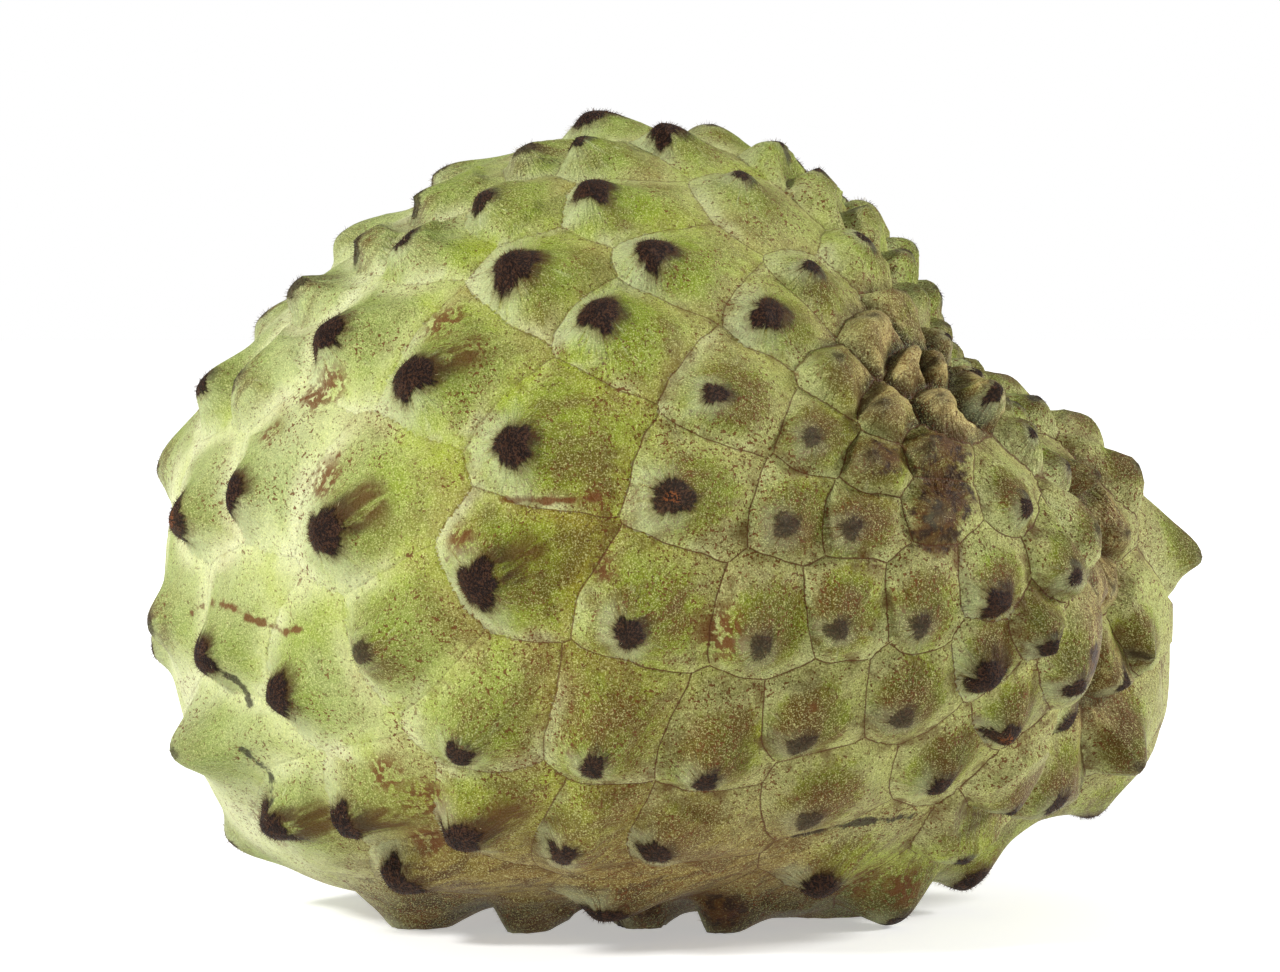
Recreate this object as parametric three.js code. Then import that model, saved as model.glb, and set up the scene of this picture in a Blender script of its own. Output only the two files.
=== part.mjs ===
// A custard apple lying on its side: one solid fruit whose skin rises in scale-like carpels, each
// with its own tip. Millimetres, +Z up. The stem hollow faces +X and up, and the broad carpels of
// the flower end face -X. The fruit rests on the flattened tips of its lowest carpels, at z = 0.

import * as THREE from "three";
import { ConvexHull } from "three/addons/math/ConvexHull.js";

// The bare body under the carpels: a ball about CORE, raised or sunk in broad lobes.
// A lobe is centred on the direction from the core to toward, and spread is its half width in degrees.
const CORE = new THREE.Vector3(-9.8, -0.4, 45);
const BALL_RADIUS = 45.5;
const LOBES = [
  { name: "stem shoulder, far side", toward: [1, 0.24, -0.12], rise: 23, spread: 26 },
  { name: "ridge up to the far shoulder", toward: [1, 0.16, 0.14], rise: 3.5, spread: 13 },
  { name: "lower corner of the far shoulder", toward: [1, 0.16, -0.42], rise: 8, spread: 10 },
  { name: "stem shoulder, near side", toward: [1, -0.5, -0.12], rise: 12, spread: 27 },
  { name: "fold between the shoulders", toward: [1, -0.12, -0.02], rise: -7, spread: 10 },
  { name: "foot of that fold", toward: [1, -0.1, -0.32], rise: -6, spread: 11 },
  { name: "lower shoulder", toward: [0.72, 0.1, -0.86], rise: 11.4, spread: 27 },
  { name: "stem hollow", toward: [0.92, 0, 0.36], rise: -6.8, spread: 17 },
  { name: "brow over the hollow", toward: [0.8, 0, 0.62], rise: 2.6, spread: 14 },
  { name: "crown", toward: [0.3, 0, 1], rise: 4, spread: 35 },
  { name: "upper flower end", toward: [-0.6, 0, 0.8], rise: -1.4, spread: 30 },
  { name: "flower end", toward: [-1, 0, 0.15], rise: 4.6, spread: 26 },
  { name: "lower flower end", toward: [-0.8, 0, -0.6], rise: 8.8, spread: 28 },
  { name: "underside", toward: [0.2, 0, -1], rise: -5.2, spread: 30 },
];

// Where the carpels crowd together, at the bottom of the stem hollow, and the width of a carpel there
// and further out along the skin.
const HOLLOW_TOWARD = new THREE.Vector3(0.92, -0.12, 0.4);
const CARPEL_WIDTH_AT_HOLLOW = 4.5;
const CARPEL_WIDTH_GROWTH = 0.2;
const WIDEST_CARPEL = 18;

// How each kind of carpel rises, on the widest carpel: the height of its tip and of the cushion round it,
// and how far the tip leans away from the hollow. Up, down and side are how far the tip's foot runs
// towards the hollow, away from it and to each side, as shares of the carpel's width.
const KINDS = {
  broad: { tip: 3.1, cushion: 0.4, lean: 0.2, up: 0.52, down: 0.26, side: 0.28 },
  middle: { tip: 2.9, cushion: 0.6, lean: 0.2, up: 0.5, down: 0.28, side: 0.3 },
  low: { tip: 1.6, cushion: 1.2, lean: 0.1, up: 0.5, down: 0.3, side: 0.34 },
  knob: { tip: 1.6, cushion: 2.8, lean: 0.1, up: 0.5, down: 0.45, side: 0.45 },
  finger: { tip: 3.5, cushion: 4, lean: 0.1, up: 0.6, down: 0.6, side: 0.5 },
  long: { tip: 2.2, cushion: 2.2, lean: 0.3, up: 0.9, down: 0.34, side: 0.26 },
  spur: { tip: 5, cushion: 0.8, lean: 0.4, up: 0.55, down: 0.34, side: 0.34 },
  rest: { tip: 3.8, cushion: 0.4, lean: 0.1, up: 0.5, down: 0.34, side: 0.34 },
};

// The eye that the front carpels' places are seen from. A place is [x, z] in the plane y = 0.
const EYE = new THREE.Vector3(-4.7, -426.1, 74);

// The carpels seen from the front, in groups that share a kind and a slope: the angle in degrees at which
// the ridge climbs from the tip, in the plane of view.
const FRONT_GROUPS = [
  { kind: "spur", slope: 12, at: [[-60, 18.5]] },
  { kind: "broad", slope: 28, at: [[-61, 48], [-43, 46.5], [-24, 40], [-32, 65.5]] },
  { kind: "broad", slope: 12, at: [[-57.5, 64], [-42.5, 70.5], [-19.5, 57]] },
  { kind: "broad", slope: -8, at: [[-19.5, 79], [-2.5, 80.5], [-1, 95]] },
  { kind: "broad", slope: 25, at: [[-49, 26], [-50, 10], [-41, 10]] },
  { kind: "broad", slope: 60, at: [[-26.5, 19.5], [33, 16]] },
  { kind: "middle", slope: 35, at: [[-54.5, 51], [-58, 31], [-34, 3], [-26.5, 8.5], [-5.5, 34]] },
  { kind: "middle", slope: 57, at: [[-10, 18], [4, 16], [40, 37.5], [39, 29], [41, 22]] },
  { kind: "middle", slope: -6, at: [[-9, 73], [-10, 88], [-11.5, 93.5]] },
  { kind: "middle", slope: 15, at: [[0, 50.5], [5, 63], [11.5, 73], [-46, 76]] },
  { kind: "middle", slope: -38, at: [[16.5, 78], [8, 89]] },
  { kind: "middle", slope: 80, at: [[42.5, 49]] },
  { kind: "low", slope: 20, at: [[-53.5, 64.5], [-33, 81.5], [-23.5, 86.5], [-31.5, 86.5], [-39, 81], [-18, 92.5]] },
  { kind: "low", slope: 32, at: [[-14, 7], [-2.5, 7], [13.5, 47], [16.5, 57.5], [21.5, 46.5]] },
  { kind: "low", slope: 58, at: [[10.5, 32.5], [20, 34.5], [30, 35], [32, 48.5], [15.5, 20.5], [28, 24], [16.5, 11.5]] },
  { kind: "long", slope: 105, at: [[54.5, 46.5], [57.5, 31.5]] },
  { kind: "knob", slope: -50, at: [[12, 93], [16.5, 90], [22.5, 81.5], [24, 72], [20, 67]] },
  { kind: "knob", slope: -70, at: [[27, 75], [28.5, 68]] },
  { kind: "knob", slope: 20, at: [[25.5, 61.5], [31.5, 66.5], [32.5, 62], [24.5, 55], [31.5, 56]] },
  { kind: "finger", slope: 80, at: [[39.5, 62]] },
  { kind: "knob", slope: 80, at: [[46, 32.5], [49, 28], [55, 28], [48.5, 40.5]] },
  { kind: "knob", slope: 62, at: [[41, 12.5], [35.5, 6.5], [46.5, 13.5]] },
  { kind: "spur", slope: 150, at: [[63, 44], [50.5, 53]] },
  { kind: "spur", slope: 100, at: [[57, 19.5]] },
];
const FAR_GROUPS = [
  { kind: "knob", slope: -60, at: [[23, 85.5], [19.5, 86.5], [25.5, 81], [31, 75.5]] },
  { kind: "low", slope: -20, at: [[-7.5, 94.5], [4, 95]] },
];

// The carpels that the fruit rests on, by their [x, y] on the floor.
const REST_PLACES = [[-33, -9], [-19.7, -12], [-5, -9], [5.5, -12], [27, -9], [20, 4], [-24, 12], [6, 17]];

// How far apart the corners of the skin's triangles stay: a fixed gap, and a share of the carpel's width.
const LEAST_GAP = 0.6;
const GAP_AT_TIP = 0.06;
const GAP_IN_SKIN = 0.103;

const lobes = LOBES.map(({ toward, rise, spread }) => ({
  toward: new THREE.Vector3(...toward).normalize(),
  rise,
  spread: THREE.MathUtils.degToRad(spread),
}));

// Distance from the core to the bare body's surface in a unit direction.
function bodyRadius(direction) {
  return lobes.reduce((radius, lobe) => {
    const share = direction.angleTo(lobe.toward) / lobe.spread;
    return radius + lobe.rise * Math.exp(-share * share);
  }, BALL_RADIUS);
}

function onBody(direction) {
  return direction.clone().multiplyScalar(bodyRadius(direction)).add(CORE);
}

function towards(point) {
  return point.clone().sub(CORE).normalize();
}

// Outward normal of the bare body, from two short steps along it.
function bodyNormal(direction) {
  const step = 0.02;
  const side = Math.abs(direction.z) < 0.9 ? new THREE.Vector3(0, 0, 1) : new THREE.Vector3(1, 0, 0);
  const u = side.cross(direction).normalize();
  const v = direction.clone().cross(u);
  const along = (axis) =>
    onBody(direction.clone().addScaledVector(axis, step).normalize()).sub(
      onBody(direction.clone().addScaledVector(axis, -step).normalize()),
    );
  return along(u).cross(along(v)).normalize();
}

const hollow = onBody(HOLLOW_TOWARD.clone().normalize());

function carpelWidth(point) {
  return Math.min(WIDEST_CARPEL, CARPEL_WIDTH_AT_HOLLOW + CARPEL_WIDTH_GROWTH * point.distanceTo(hollow));
}

// How much of a kind's full height a carpel of this width has.
function heightShare(width) {
  return 0.45 + 0.55 * (width / WIDEST_CARPEL);
}

// A carpel: its tip's foot on the body, the way its ridge climbs, and the way it rises out of the body.
function makeCarpel(direction, kind, climb) {
  const foot = onBody(direction);
  const normal = bodyNormal(direction);
  const ridge = climb.clone().addScaledVector(normal, -climb.dot(normal)).normalize();
  const across = normal.clone().cross(ridge);
  const rise = normal.clone().addScaledVector(ridge, -KINDS[kind].lean);
  return { foot, ridge, across, rise, kind, width: carpelWidth(foot) };
}

// The direction from the core in which a line of sight meets the tips of a kind, or passes closest.
function sightDirection(from, through, kind, farSide) {
  const ray = through.clone().sub(from).normalize();
  const middle = CORE.clone().sub(from).dot(ray);
  const reach = 2 * BALL_RADIUS;
  const steps = 720;
  const lift = KINDS[kind].tip + KINDS[kind].cushion;
  let best = null;
  let closest = Infinity;
  for (let i = 0; i <= steps; i++) {
    const t = middle + reach * (farSide ? 1 - (2 * i) / steps : (2 * i) / steps - 1);
    const place = from.clone().addScaledVector(ray, t);
    const direction = towards(place);
    const height = lift * heightShare(carpelWidth(place));
    const gap = place.distanceTo(CORE) - bodyRadius(direction) - height;
    if (gap < closest) {
      closest = gap;
      best = direction;
    }
    if (gap <= 0) break;
  }
  return best;
}

function seenCarpels(groups, farSide) {
  return groups.flatMap(({ kind, slope, at }) => {
    const angle = THREE.MathUtils.degToRad(slope);
    const climb = new THREE.Vector3(Math.cos(angle), 0, Math.sin(angle));
    return at.map(([x, z]) =>
      makeCarpel(sightDirection(EYE, new THREE.Vector3(x, 0, z), kind, farSide), kind, climb),
    );
  });
}

function restCarpels() {
  return REST_PLACES.map(([x, y]) => {
    const below = new THREE.Vector3(x, y, -200);
    const direction = sightDirection(below, new THREE.Vector3(x, y, 0), "rest", false);
    return makeCarpel(direction, "rest", hollow.clone().sub(onBody(direction)));
  });
}

// Evenly spread unit directions, on a golden-angle spiral.
function spiralDirections(count) {
  const golden = Math.PI * (3 - Math.sqrt(5));
  return Array.from({ length: count }, (_, i) => {
    const z = 1 - (2 * i + 1) / count;
    const ring = Math.sqrt(1 - z * z);
    return new THREE.Vector3(ring * Math.cos(golden * i), ring * Math.sin(golden * i), z);
  });
}

// Fills the rest of the skin: each new carpel goes where there is most room for one, until none fits.
function fillCarpels(carpels) {
  const tries = 3000;
  const fits = 0.72;
  const spots = spiralDirections(tries).map((direction) => {
    const foot = onBody(direction);
    const width = carpelWidth(foot);
    const room = Math.min(...carpels.map((carpel) => carpel.foot.distanceTo(foot))) / width;
    return { direction, foot, width, room };
  });
  for (;;) {
    const spot = spots.reduce((a, b) => (b.room > a.room ? b : a));
    if (spot.room < fits) return;
    const size = spot.width / WIDEST_CARPEL;
    const kind = size > 0.85 ? "broad" : size > 0.6 ? "middle" : "knob";
    carpels.push(makeCarpel(spot.direction, kind, hollow.clone().sub(spot.foot)));
    for (const other of spots) {
      other.room = Math.min(other.room, spot.foot.distanceTo(other.foot) / other.width);
    }
  }
}

const carpels = [...seenCarpels(FRONT_GROUPS, false), ...seenCarpels(FAR_GROUPS, true), ...restCarpels()];
fillCarpels(carpels);

// How much nearer a carpel holds the skin on its ridge side than below its tip.
const RIDGE_PULL = 0.45;

// The carpel that holds a point of the body, and the distance to the seam with its nearest neighbour.
function holder(point) {
  const offset = new THREE.Vector3();
  const claims = carpels.map((carpel) => {
    offset.copy(point).sub(carpel.foot);
    return offset.length() - RIDGE_PULL * offset.dot(carpel.ridge);
  });
  let first = 0;
  let second = 1;
  claims.forEach((claim, i) => {
    if (claim < claims[first]) {
      second = first;
      first = i;
    } else if (i !== first && (claim < claims[second] || second === first)) {
      second = i;
    }
  });
  const pull = (carpel) =>
    point.clone().sub(carpel.foot).normalize().addScaledVector(carpel.ridge, -RIDGE_PULL);
  const slope = pull(carpels[second]).sub(pull(carpels[first])).length();
  return { carpel: carpels[first], seam: (claims[second] - claims[first]) / Math.max(slope, 0.3) };
}

function smoothStep(x) {
  const t = THREE.MathUtils.clamp(x, 0, 1);
  return t * t * (3 - 2 * t);
}

// Where a tip has fallen to half its height, as a share of its foot, and how sharply it falls there.
const HALF_REACH = 0.62;
const FALL = 2.8;

// How far from a seam a cushion has risen by two thirds, as a share of the carpel's width.
const CUSHION_EDGE = 0.14;

// How far from a seam the tips begin to fall to it, as shares of the carpel's width: up along the ridge,
// and below the tip, where the carpel ends in a steeper edge.
const FADE_UP = 0.27;
const FADE_DOWN = 0.13;

// How far along its foot a point is from a carpel's tip: 0 on the tip, 1 at the edge of the foot.
function tipReach(carpel, point) {
  const kind = KINDS[carpel.kind];
  const offset = point.clone().sub(carpel.foot);
  const climb = offset.dot(carpel.ridge) / ((offset.dot(carpel.ridge) > 0 ? kind.up : kind.down) * carpel.width);
  return Math.hypot(climb, offset.dot(carpel.across) / (kind.side * carpel.width));
}

// The skin's surface over a direction: the body, raised by its carpel's cushion and tip.
function skinPoint(direction) {
  const point = onBody(direction);
  const { carpel, seam } = holder(point);
  const kind = KINDS[carpel.kind];
  const cushion = kind.cushion * (1 - Math.exp(-seam / (CUSHION_EDGE * carpel.width)));
  const tip = kind.tip / (1 + (tipReach(carpel, point) / HALF_REACH) ** FALL);
  const climb = point.clone().sub(carpel.foot).dot(carpel.ridge) / carpel.width;
  const fade = THREE.MathUtils.lerp(FADE_DOWN, FADE_UP, smoothStep(0.5 + 2.5 * climb));
  const height = cushion + tip * smoothStep(seam / (fade * carpel.width));
  const raised = point.addScaledVector(carpel.rise, height * heightShare(carpel.width));
  raised.z = Math.max(raised.z, 0);
  return raised;
}

// The directions of the skin's corners. Each is kept only if it leaves a gap to all that came before.
class Corners {
  directions = [];
  #points = [];

  add(direction, gap) {
    const point = onBody(direction);
    if (this.#points.some((other) => other.distanceToSquared(point) < gap * gap)) return;
    this.directions.push(direction);
    this.#points.push(point);
  }

  // Rings of corners round a tip: its cap, its flank and its foot.
  addRings(carpel) {
    const kind = KINDS[carpel.kind];
    const gap = LEAST_GAP + GAP_AT_TIP * carpel.width;
    this.add(towards(carpel.foot), 0);
    for (const [reach, count] of [[0.28, 6], [0.62, 10], [1, 14]]) {
      for (let i = 0; i < count; i++) {
        const turn = (2 * Math.PI * i) / count;
        const length = (Math.cos(turn) > 0 ? kind.up : kind.down) * carpel.width;
        const place = carpel.foot
          .clone()
          .addScaledVector(carpel.ridge, reach * length * Math.cos(turn))
          .addScaledVector(carpel.across, reach * kind.side * carpel.width * Math.sin(turn));
        if (holder(onBody(towards(place))).carpel === carpel) this.add(towards(place), gap);
      }
    }
  }

  // Corners along a carpel's seams, each found on a line that runs out from its tip.
  addSeam(carpel) {
    const lines = 32;
    for (let i = 0; i < lines; i++) {
      const turn = (2 * Math.PI * i) / lines;
      const way = carpel.ridge
        .clone()
        .multiplyScalar(Math.cos(turn))
        .addScaledVector(carpel.across, Math.sin(turn));
      let inside = 0;
      let outside = 1.5 * carpel.width;
      for (let halving = 0; halving < 12; halving++) {
        const middle = (inside + outside) / 2;
        const place = onBody(towards(carpel.foot.clone().addScaledVector(way, middle)));
        if (holder(place).carpel === carpel) inside = middle;
        else outside = middle;
      }
      const gap = LEAST_GAP + GAP_IN_SKIN * carpel.width;
      this.add(towards(carpel.foot.clone().addScaledVector(way, outside)), gap);
    }
  }

  addOpenSkin() {
    for (const direction of spiralDirections(30000)) {
      this.add(direction, LEAST_GAP + GAP_IN_SKIN * carpelWidth(onBody(direction)));
    }
  }
}

// Joins the corners into triangles by the hull of their directions on the unit ball.
function makeSkin() {
  const corners = new Corners();
  for (const carpel of carpels) corners.addRings(carpel);
  for (const carpel of carpels) corners.addSeam(carpel);
  corners.addOpenSkin();
  const order = new Map(corners.directions.map((direction, i) => [direction, i]));
  const triangles = new ConvexHull().setFromPoints(corners.directions).faces.flatMap(({ edge }) =>
    [edge, edge.next, edge.prev].map((side) => order.get(side.head().point)),
  );
  const places = corners.directions.flatMap((direction) => skinPoint(direction).toArray());
  return new THREE.BufferGeometry()
    .setAttribute("position", new THREE.BufferAttribute(new Float32Array(places), 3))
    .setIndex(triangles);
}

const skin = new THREE.MeshStandardMaterial({ color: 0xaaad62, roughness: 0.62, metalness: 0 });
const fruit = new THREE.Mesh(makeSkin(), skin);
fruit.name = "fruit";

const custardApple = new THREE.Group();
custardApple.name = "custard_apple";
custardApple.add(fruit);

export default custardApple;
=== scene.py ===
"""Dresses the custard apple: its finely raised skin, the dry dark caps on its tips and their hairs.

The skin follows the solid's own rule, a lobed body raised by carpels and their tips, on a much
finer mesh. Its colours come from mesh attributes and procedural nodes. Lengths are worked out in
millimetres and turned into metres when a mesh is made.
"""

import logging
import math
from dataclasses import dataclass, field
from enum import Enum

import bpy
import numpy as np
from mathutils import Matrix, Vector


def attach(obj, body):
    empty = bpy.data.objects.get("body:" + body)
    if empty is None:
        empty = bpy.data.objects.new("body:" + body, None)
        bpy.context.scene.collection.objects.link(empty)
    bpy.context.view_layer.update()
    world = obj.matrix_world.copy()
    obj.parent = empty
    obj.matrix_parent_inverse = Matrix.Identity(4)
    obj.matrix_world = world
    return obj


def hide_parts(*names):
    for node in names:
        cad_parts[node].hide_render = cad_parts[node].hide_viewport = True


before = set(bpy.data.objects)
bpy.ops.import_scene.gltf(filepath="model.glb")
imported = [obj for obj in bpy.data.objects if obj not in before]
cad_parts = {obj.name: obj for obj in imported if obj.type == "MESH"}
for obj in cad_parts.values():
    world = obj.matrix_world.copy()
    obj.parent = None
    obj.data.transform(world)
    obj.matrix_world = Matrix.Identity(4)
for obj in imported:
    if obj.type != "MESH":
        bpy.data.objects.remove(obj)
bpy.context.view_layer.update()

log = logging.getLogger("custard apple")

MM = 0.001
FINE_NOISE = 2
NOISE_STEPS = (31.7, 17.3, 5.9)
Point = tuple[float, float, float]
Place = tuple[float, float]
Shade = tuple[float, float, float, float]


def smooth_step(x: np.ndarray) -> np.ndarray:
    """Ease from 0 to 1 as x goes from 0 to 1."""
    t = np.clip(x, 0, 1)
    return t * t * (3 - 2 * t)


def unit(vectors: np.ndarray) -> np.ndarray:
    """The same vectors at length 1."""
    return vectors / np.linalg.norm(vectors, axis=-1, keepdims=True)


def nearest_two(values: np.ndarray) -> tuple[np.ndarray, np.ndarray]:
    """Indices of each row's least and second least value.

    Args:
        values: Rows of numbers.

    Returns:
        The indices of the least, and those of the second least.
    """
    pair = np.argpartition(values, 1, axis=1)[:, :2]
    swap = np.take_along_axis(values, pair[:, :1], 1) > np.take_along_axis(values, pair[:, 1:], 1)
    pair = np.where(swap, pair[:, ::-1], pair)
    return pair[:, 0], pair[:, 1]


@dataclass(frozen=True)
class Lobe:
    """A broad rise or dip of the bare body, spread over so many degrees round a direction."""

    toward: Point
    rise: float
    spread: float


@dataclass
class FruitBody:
    """The bare body under the carpels: a ball about its core, with broad lobes."""

    core: np.ndarray = field(default_factory=lambda: np.array([-9.8, -0.4, 45.0]))
    ball_radius: float = 45.5
    hollow_toward: Point = (0.92, -0.12, 0.4)
    lobes: tuple[Lobe, ...] = (
        Lobe((1, 0.24, -0.12), 23, 26),
        Lobe((1, 0.16, 0.14), 3.5, 13),
        Lobe((1, 0.16, -0.42), 8, 10),
        Lobe((1, -0.5, -0.12), 12, 27),
        Lobe((1, -0.12, -0.02), -7, 10),
        Lobe((1, -0.1, -0.32), -6, 11),
        Lobe((0.72, 0.1, -0.86), 11.4, 27),
        Lobe((0.92, 0, 0.36), -6.8, 17),
        Lobe((0.8, 0, 0.62), 2.6, 14),
        Lobe((0.3, 0, 1), 4, 35),
        Lobe((-0.6, 0, 0.8), -1.4, 30),
        Lobe((-1, 0, 0.15), 4.6, 26),
        Lobe((-0.8, 0, -0.6), 8.8, 28),
        Lobe((0.2, 0, -1), -5.2, 30),
    )

    def radius(self, directions: np.ndarray) -> np.ndarray:
        """Distance from the core to the body's surface in each unit direction.

        Args:
            directions: Unit vectors from the core.

        Returns:
            The distances in millimetres.
        """
        out = np.full(directions.shape[:-1], self.ball_radius)
        for lobe in self.lobes:
            angle = np.arccos(np.clip(directions @ unit(np.array(lobe.toward, float)), -1, 1))
            out += lobe.rise * np.exp(-((angle / math.radians(lobe.spread)) ** 2))
        return out

    def on(self, directions: np.ndarray) -> np.ndarray:
        """The body's surface points in these unit directions."""
        return self.core + directions * self.radius(directions)[..., None]

    def towards(self, points: np.ndarray) -> np.ndarray:
        """Unit directions from the core to these points."""
        return unit(points - self.core)

    def normal(self, direction: np.ndarray) -> np.ndarray:
        """Outward normal of the body, from two short steps along it.

        Args:
            direction: A unit vector from the core.

        Returns:
            The unit normal there.
        """
        step = 0.02
        side = np.array([0.0, 0, 1]) if abs(direction[2]) < 0.9 else np.array([1.0, 0, 0])
        u = unit(np.cross(side, direction))
        v = np.cross(direction, u)
        along = [
            self.on(unit(direction + step * axis)) - self.on(unit(direction - step * axis))
            for axis in (u, v)
        ]
        return unit(np.cross(along[0], along[1]))

    def hollow(self) -> np.ndarray:
        """The bottom of the stem hollow, where the carpels crowd together."""
        return self.on(unit(np.array(self.hollow_toward)))


@dataclass(frozen=True)
class Rise:
    """How a kind of carpel rises: heights in millimetres, its foot as shares of its width."""

    tip: float
    cushion: float
    lean: float
    up: float
    down: float
    side: float


class Kind(Enum):
    """The kinds of carpel, by how they rise."""

    BROAD = Rise(3.1, 0.4, 0.2, 0.52, 0.26, 0.28)
    MIDDLE = Rise(2.9, 0.6, 0.2, 0.5, 0.28, 0.3)
    LOW = Rise(1.6, 1.2, 0.1, 0.5, 0.3, 0.34)
    KNOB = Rise(1.6, 2.8, 0.1, 0.5, 0.45, 0.45)
    FINGER = Rise(3.5, 4, 0.1, 0.6, 0.6, 0.5)
    LONG = Rise(2.2, 2.2, 0.3, 0.9, 0.34, 0.26)
    SPUR = Rise(5, 0.8, 0.4, 0.55, 0.34, 0.34)
    REST = Rise(3.8, 0.4, 0.1, 0.5, 0.34, 0.34)


@dataclass(frozen=True)
class CapLook:
    """A tip's dry cap: its radius and its smear's length in millimetres, the rest as shares."""

    radius: float
    dark: float
    core: float
    brown: float
    smear: float


class Cap(Enum):
    """The looks of a tip's cap."""

    DARK = CapLook(2.4, 1.0, 0.0, 0.3, 1.5)
    SMEARED = CapLook(2.4, 1.0, 0.0, 0.35, 5.5)
    SMALL = CapLook(1.45, 0.95, 0.0, 0.35, 1.2)
    CORED = CapLook(2.1, 0.95, 1.0, 0.2, 0.5)
    FAINT = CapLook(1.3, 0.6, 0.0, 0.9, 1.0)
    GREEN = CapLook(0.8, 0.4, 0.0, 0.2, 0.0)
    TAN = CapLook(0.9, 0.3, 0.0, 1.0, 0.0)


@dataclass(frozen=True)
class Group:
    """Carpels of one kind, ridge slope in degrees and cap, at places x, z of the front view."""

    kind: Kind
    slope: float
    cap: Cap
    at: tuple[Place, ...]


FRONT_GROUPS = (
    Group(Kind.SPUR, 12, Cap.GREEN, ((-60, 18.5),)),
    Group(Kind.BROAD, 28, Cap.CORED, ((-61, 48),)),
    Group(Kind.BROAD, 28, Cap.SMEARED, ((-43, 46.5), (-24, 40), (-32, 65.5))),
    Group(Kind.BROAD, 12, Cap.SMALL, ((-57.5, 64),)),
    Group(Kind.BROAD, 12, Cap.DARK, ((-42.5, 70.5), (-19.5, 57))),
    Group(Kind.BROAD, -8, Cap.DARK, ((-19.5, 79), (-2.5, 80.5), (-1, 95))),
    Group(Kind.BROAD, 25, Cap.DARK, ((-49, 26),)),
    Group(Kind.BROAD, 25, Cap.SMEARED, ((-50, 10), (-41, 10))),
    Group(Kind.BROAD, 60, Cap.SMALL, ((-26.5, 19.5), (33, 16))),
    Group(Kind.MIDDLE, 35, Cap.DARK, ((-54.5, 51), (-58, 31), (-34, 3))),
    Group(Kind.MIDDLE, 35, Cap.SMEARED, ((-26.5, 8.5),)),
    Group(Kind.MIDDLE, 35, Cap.SMALL, ((-5.5, 34),)),
    Group(Kind.MIDDLE, 57, Cap.DARK, ((40, 37.5), (39, 29))),
    Group(Kind.MIDDLE, 57, Cap.SMALL, ((-10, 18), (4, 16))),
    Group(Kind.MIDDLE, 57, Cap.CORED, ((41, 22),)),
    Group(Kind.MIDDLE, -6, Cap.DARK, ((-9, 73), (-10, 88))),
    Group(Kind.MIDDLE, -6, Cap.SMALL, ((-11.5, 93.5),)),
    Group(Kind.MIDDLE, 15, Cap.CORED, ((0, 50.5),)),
    Group(Kind.MIDDLE, 15, Cap.SMALL, ((5, 63),)),
    Group(Kind.MIDDLE, 15, Cap.DARK, ((11.5, 73),)),
    Group(Kind.MIDDLE, 15, Cap.FAINT, ((-46, 76),)),
    Group(Kind.MIDDLE, -38, Cap.SMALL, ((16.5, 78), (8, 89))),
    Group(Kind.MIDDLE, 80, Cap.SMALL, ((42.5, 49),)),
    Group(Kind.LOW, 20, Cap.FAINT, ((-53.5, 64.5), (-31.5, 86.5), (-39, 81), (-18, 92.5))),
    Group(Kind.LOW, 20, Cap.SMALL, ((-33, 81.5), (-23.5, 86.5))),
    Group(Kind.LOW, 32, Cap.SMALL, ((-14, 7), (-2.5, 7))),
    Group(Kind.LOW, 32, Cap.FAINT, ((13.5, 47), (16.5, 57.5), (21.5, 46.5))),
    Group(Kind.LOW, 58, Cap.FAINT, ((10.5, 32.5), (20, 34.5), (30, 35))),
    Group(Kind.LOW, 58, Cap.FAINT, ((15.5, 20.5), (28, 24), (16.5, 11.5))),
    Group(Kind.LOW, 58, Cap.TAN, ((32, 48.5),)),
    Group(Kind.LONG, 105, Cap.GREEN, ((54.5, 46.5), (57.5, 31.5))),
    Group(Kind.KNOB, -50, Cap.SMALL, ((12, 93), (16.5, 90), (22.5, 81.5))),
    Group(Kind.KNOB, -50, Cap.GREEN, ((24, 72), (20, 67))),
    Group(Kind.KNOB, -70, Cap.TAN, ((27, 75), (28.5, 68))),
    Group(Kind.KNOB, 20, Cap.TAN, ((25.5, 61.5), (31.5, 66.5), (32.5, 62), (24.5, 55), (31.5, 56))),
    Group(Kind.FINGER, 80, Cap.SMALL, ((39.5, 62),)),
    Group(Kind.KNOB, 80, Cap.SMALL, ((46, 32.5), (49, 28), (55, 28), (48.5, 40.5))),
    Group(Kind.KNOB, 62, Cap.SMALL, ((41, 12.5), (35.5, 6.5), (46.5, 13.5))),
    Group(Kind.SPUR, 150, Cap.GREEN, ((63, 44), (50.5, 53))),
    Group(Kind.SPUR, 100, Cap.GREEN, ((57, 19.5),)),
)
FAR_GROUPS = (
    Group(Kind.KNOB, -60, Cap.SMALL, ((23, 85.5), (19.5, 86.5), (25.5, 81), (31, 75.5))),
    Group(Kind.LOW, -20, Cap.FAINT, ((-7.5, 94.5), (4, 95))),
)
REST_PLACES = (
    (-33, -9), (-19.7, -12), (-5, -9), (5.5, -12), (27, -9), (20, 4), (-24, 12), (6, 17),
)


@dataclass
class Eye:
    """The camera's place and aim, also used to put a thing seen in the photograph on the fruit."""

    place: Point = (-4.7, -426.1, 74)
    target: Point = (-4.7, 0, 51.7)
    lens: float = 100
    sensor: float = 36
    grain: float = 0.12
    middle_column: float = 679
    floor_row: float = 916.5

    def plane_point(self, column: float, row: float) -> np.ndarray:
        """The point of the plane y = 0 that a pixel of the photograph shows."""
        return np.array(
            [(column - self.middle_column) * self.grain, 0, (self.floor_row - row) * self.grain]
        )


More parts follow.
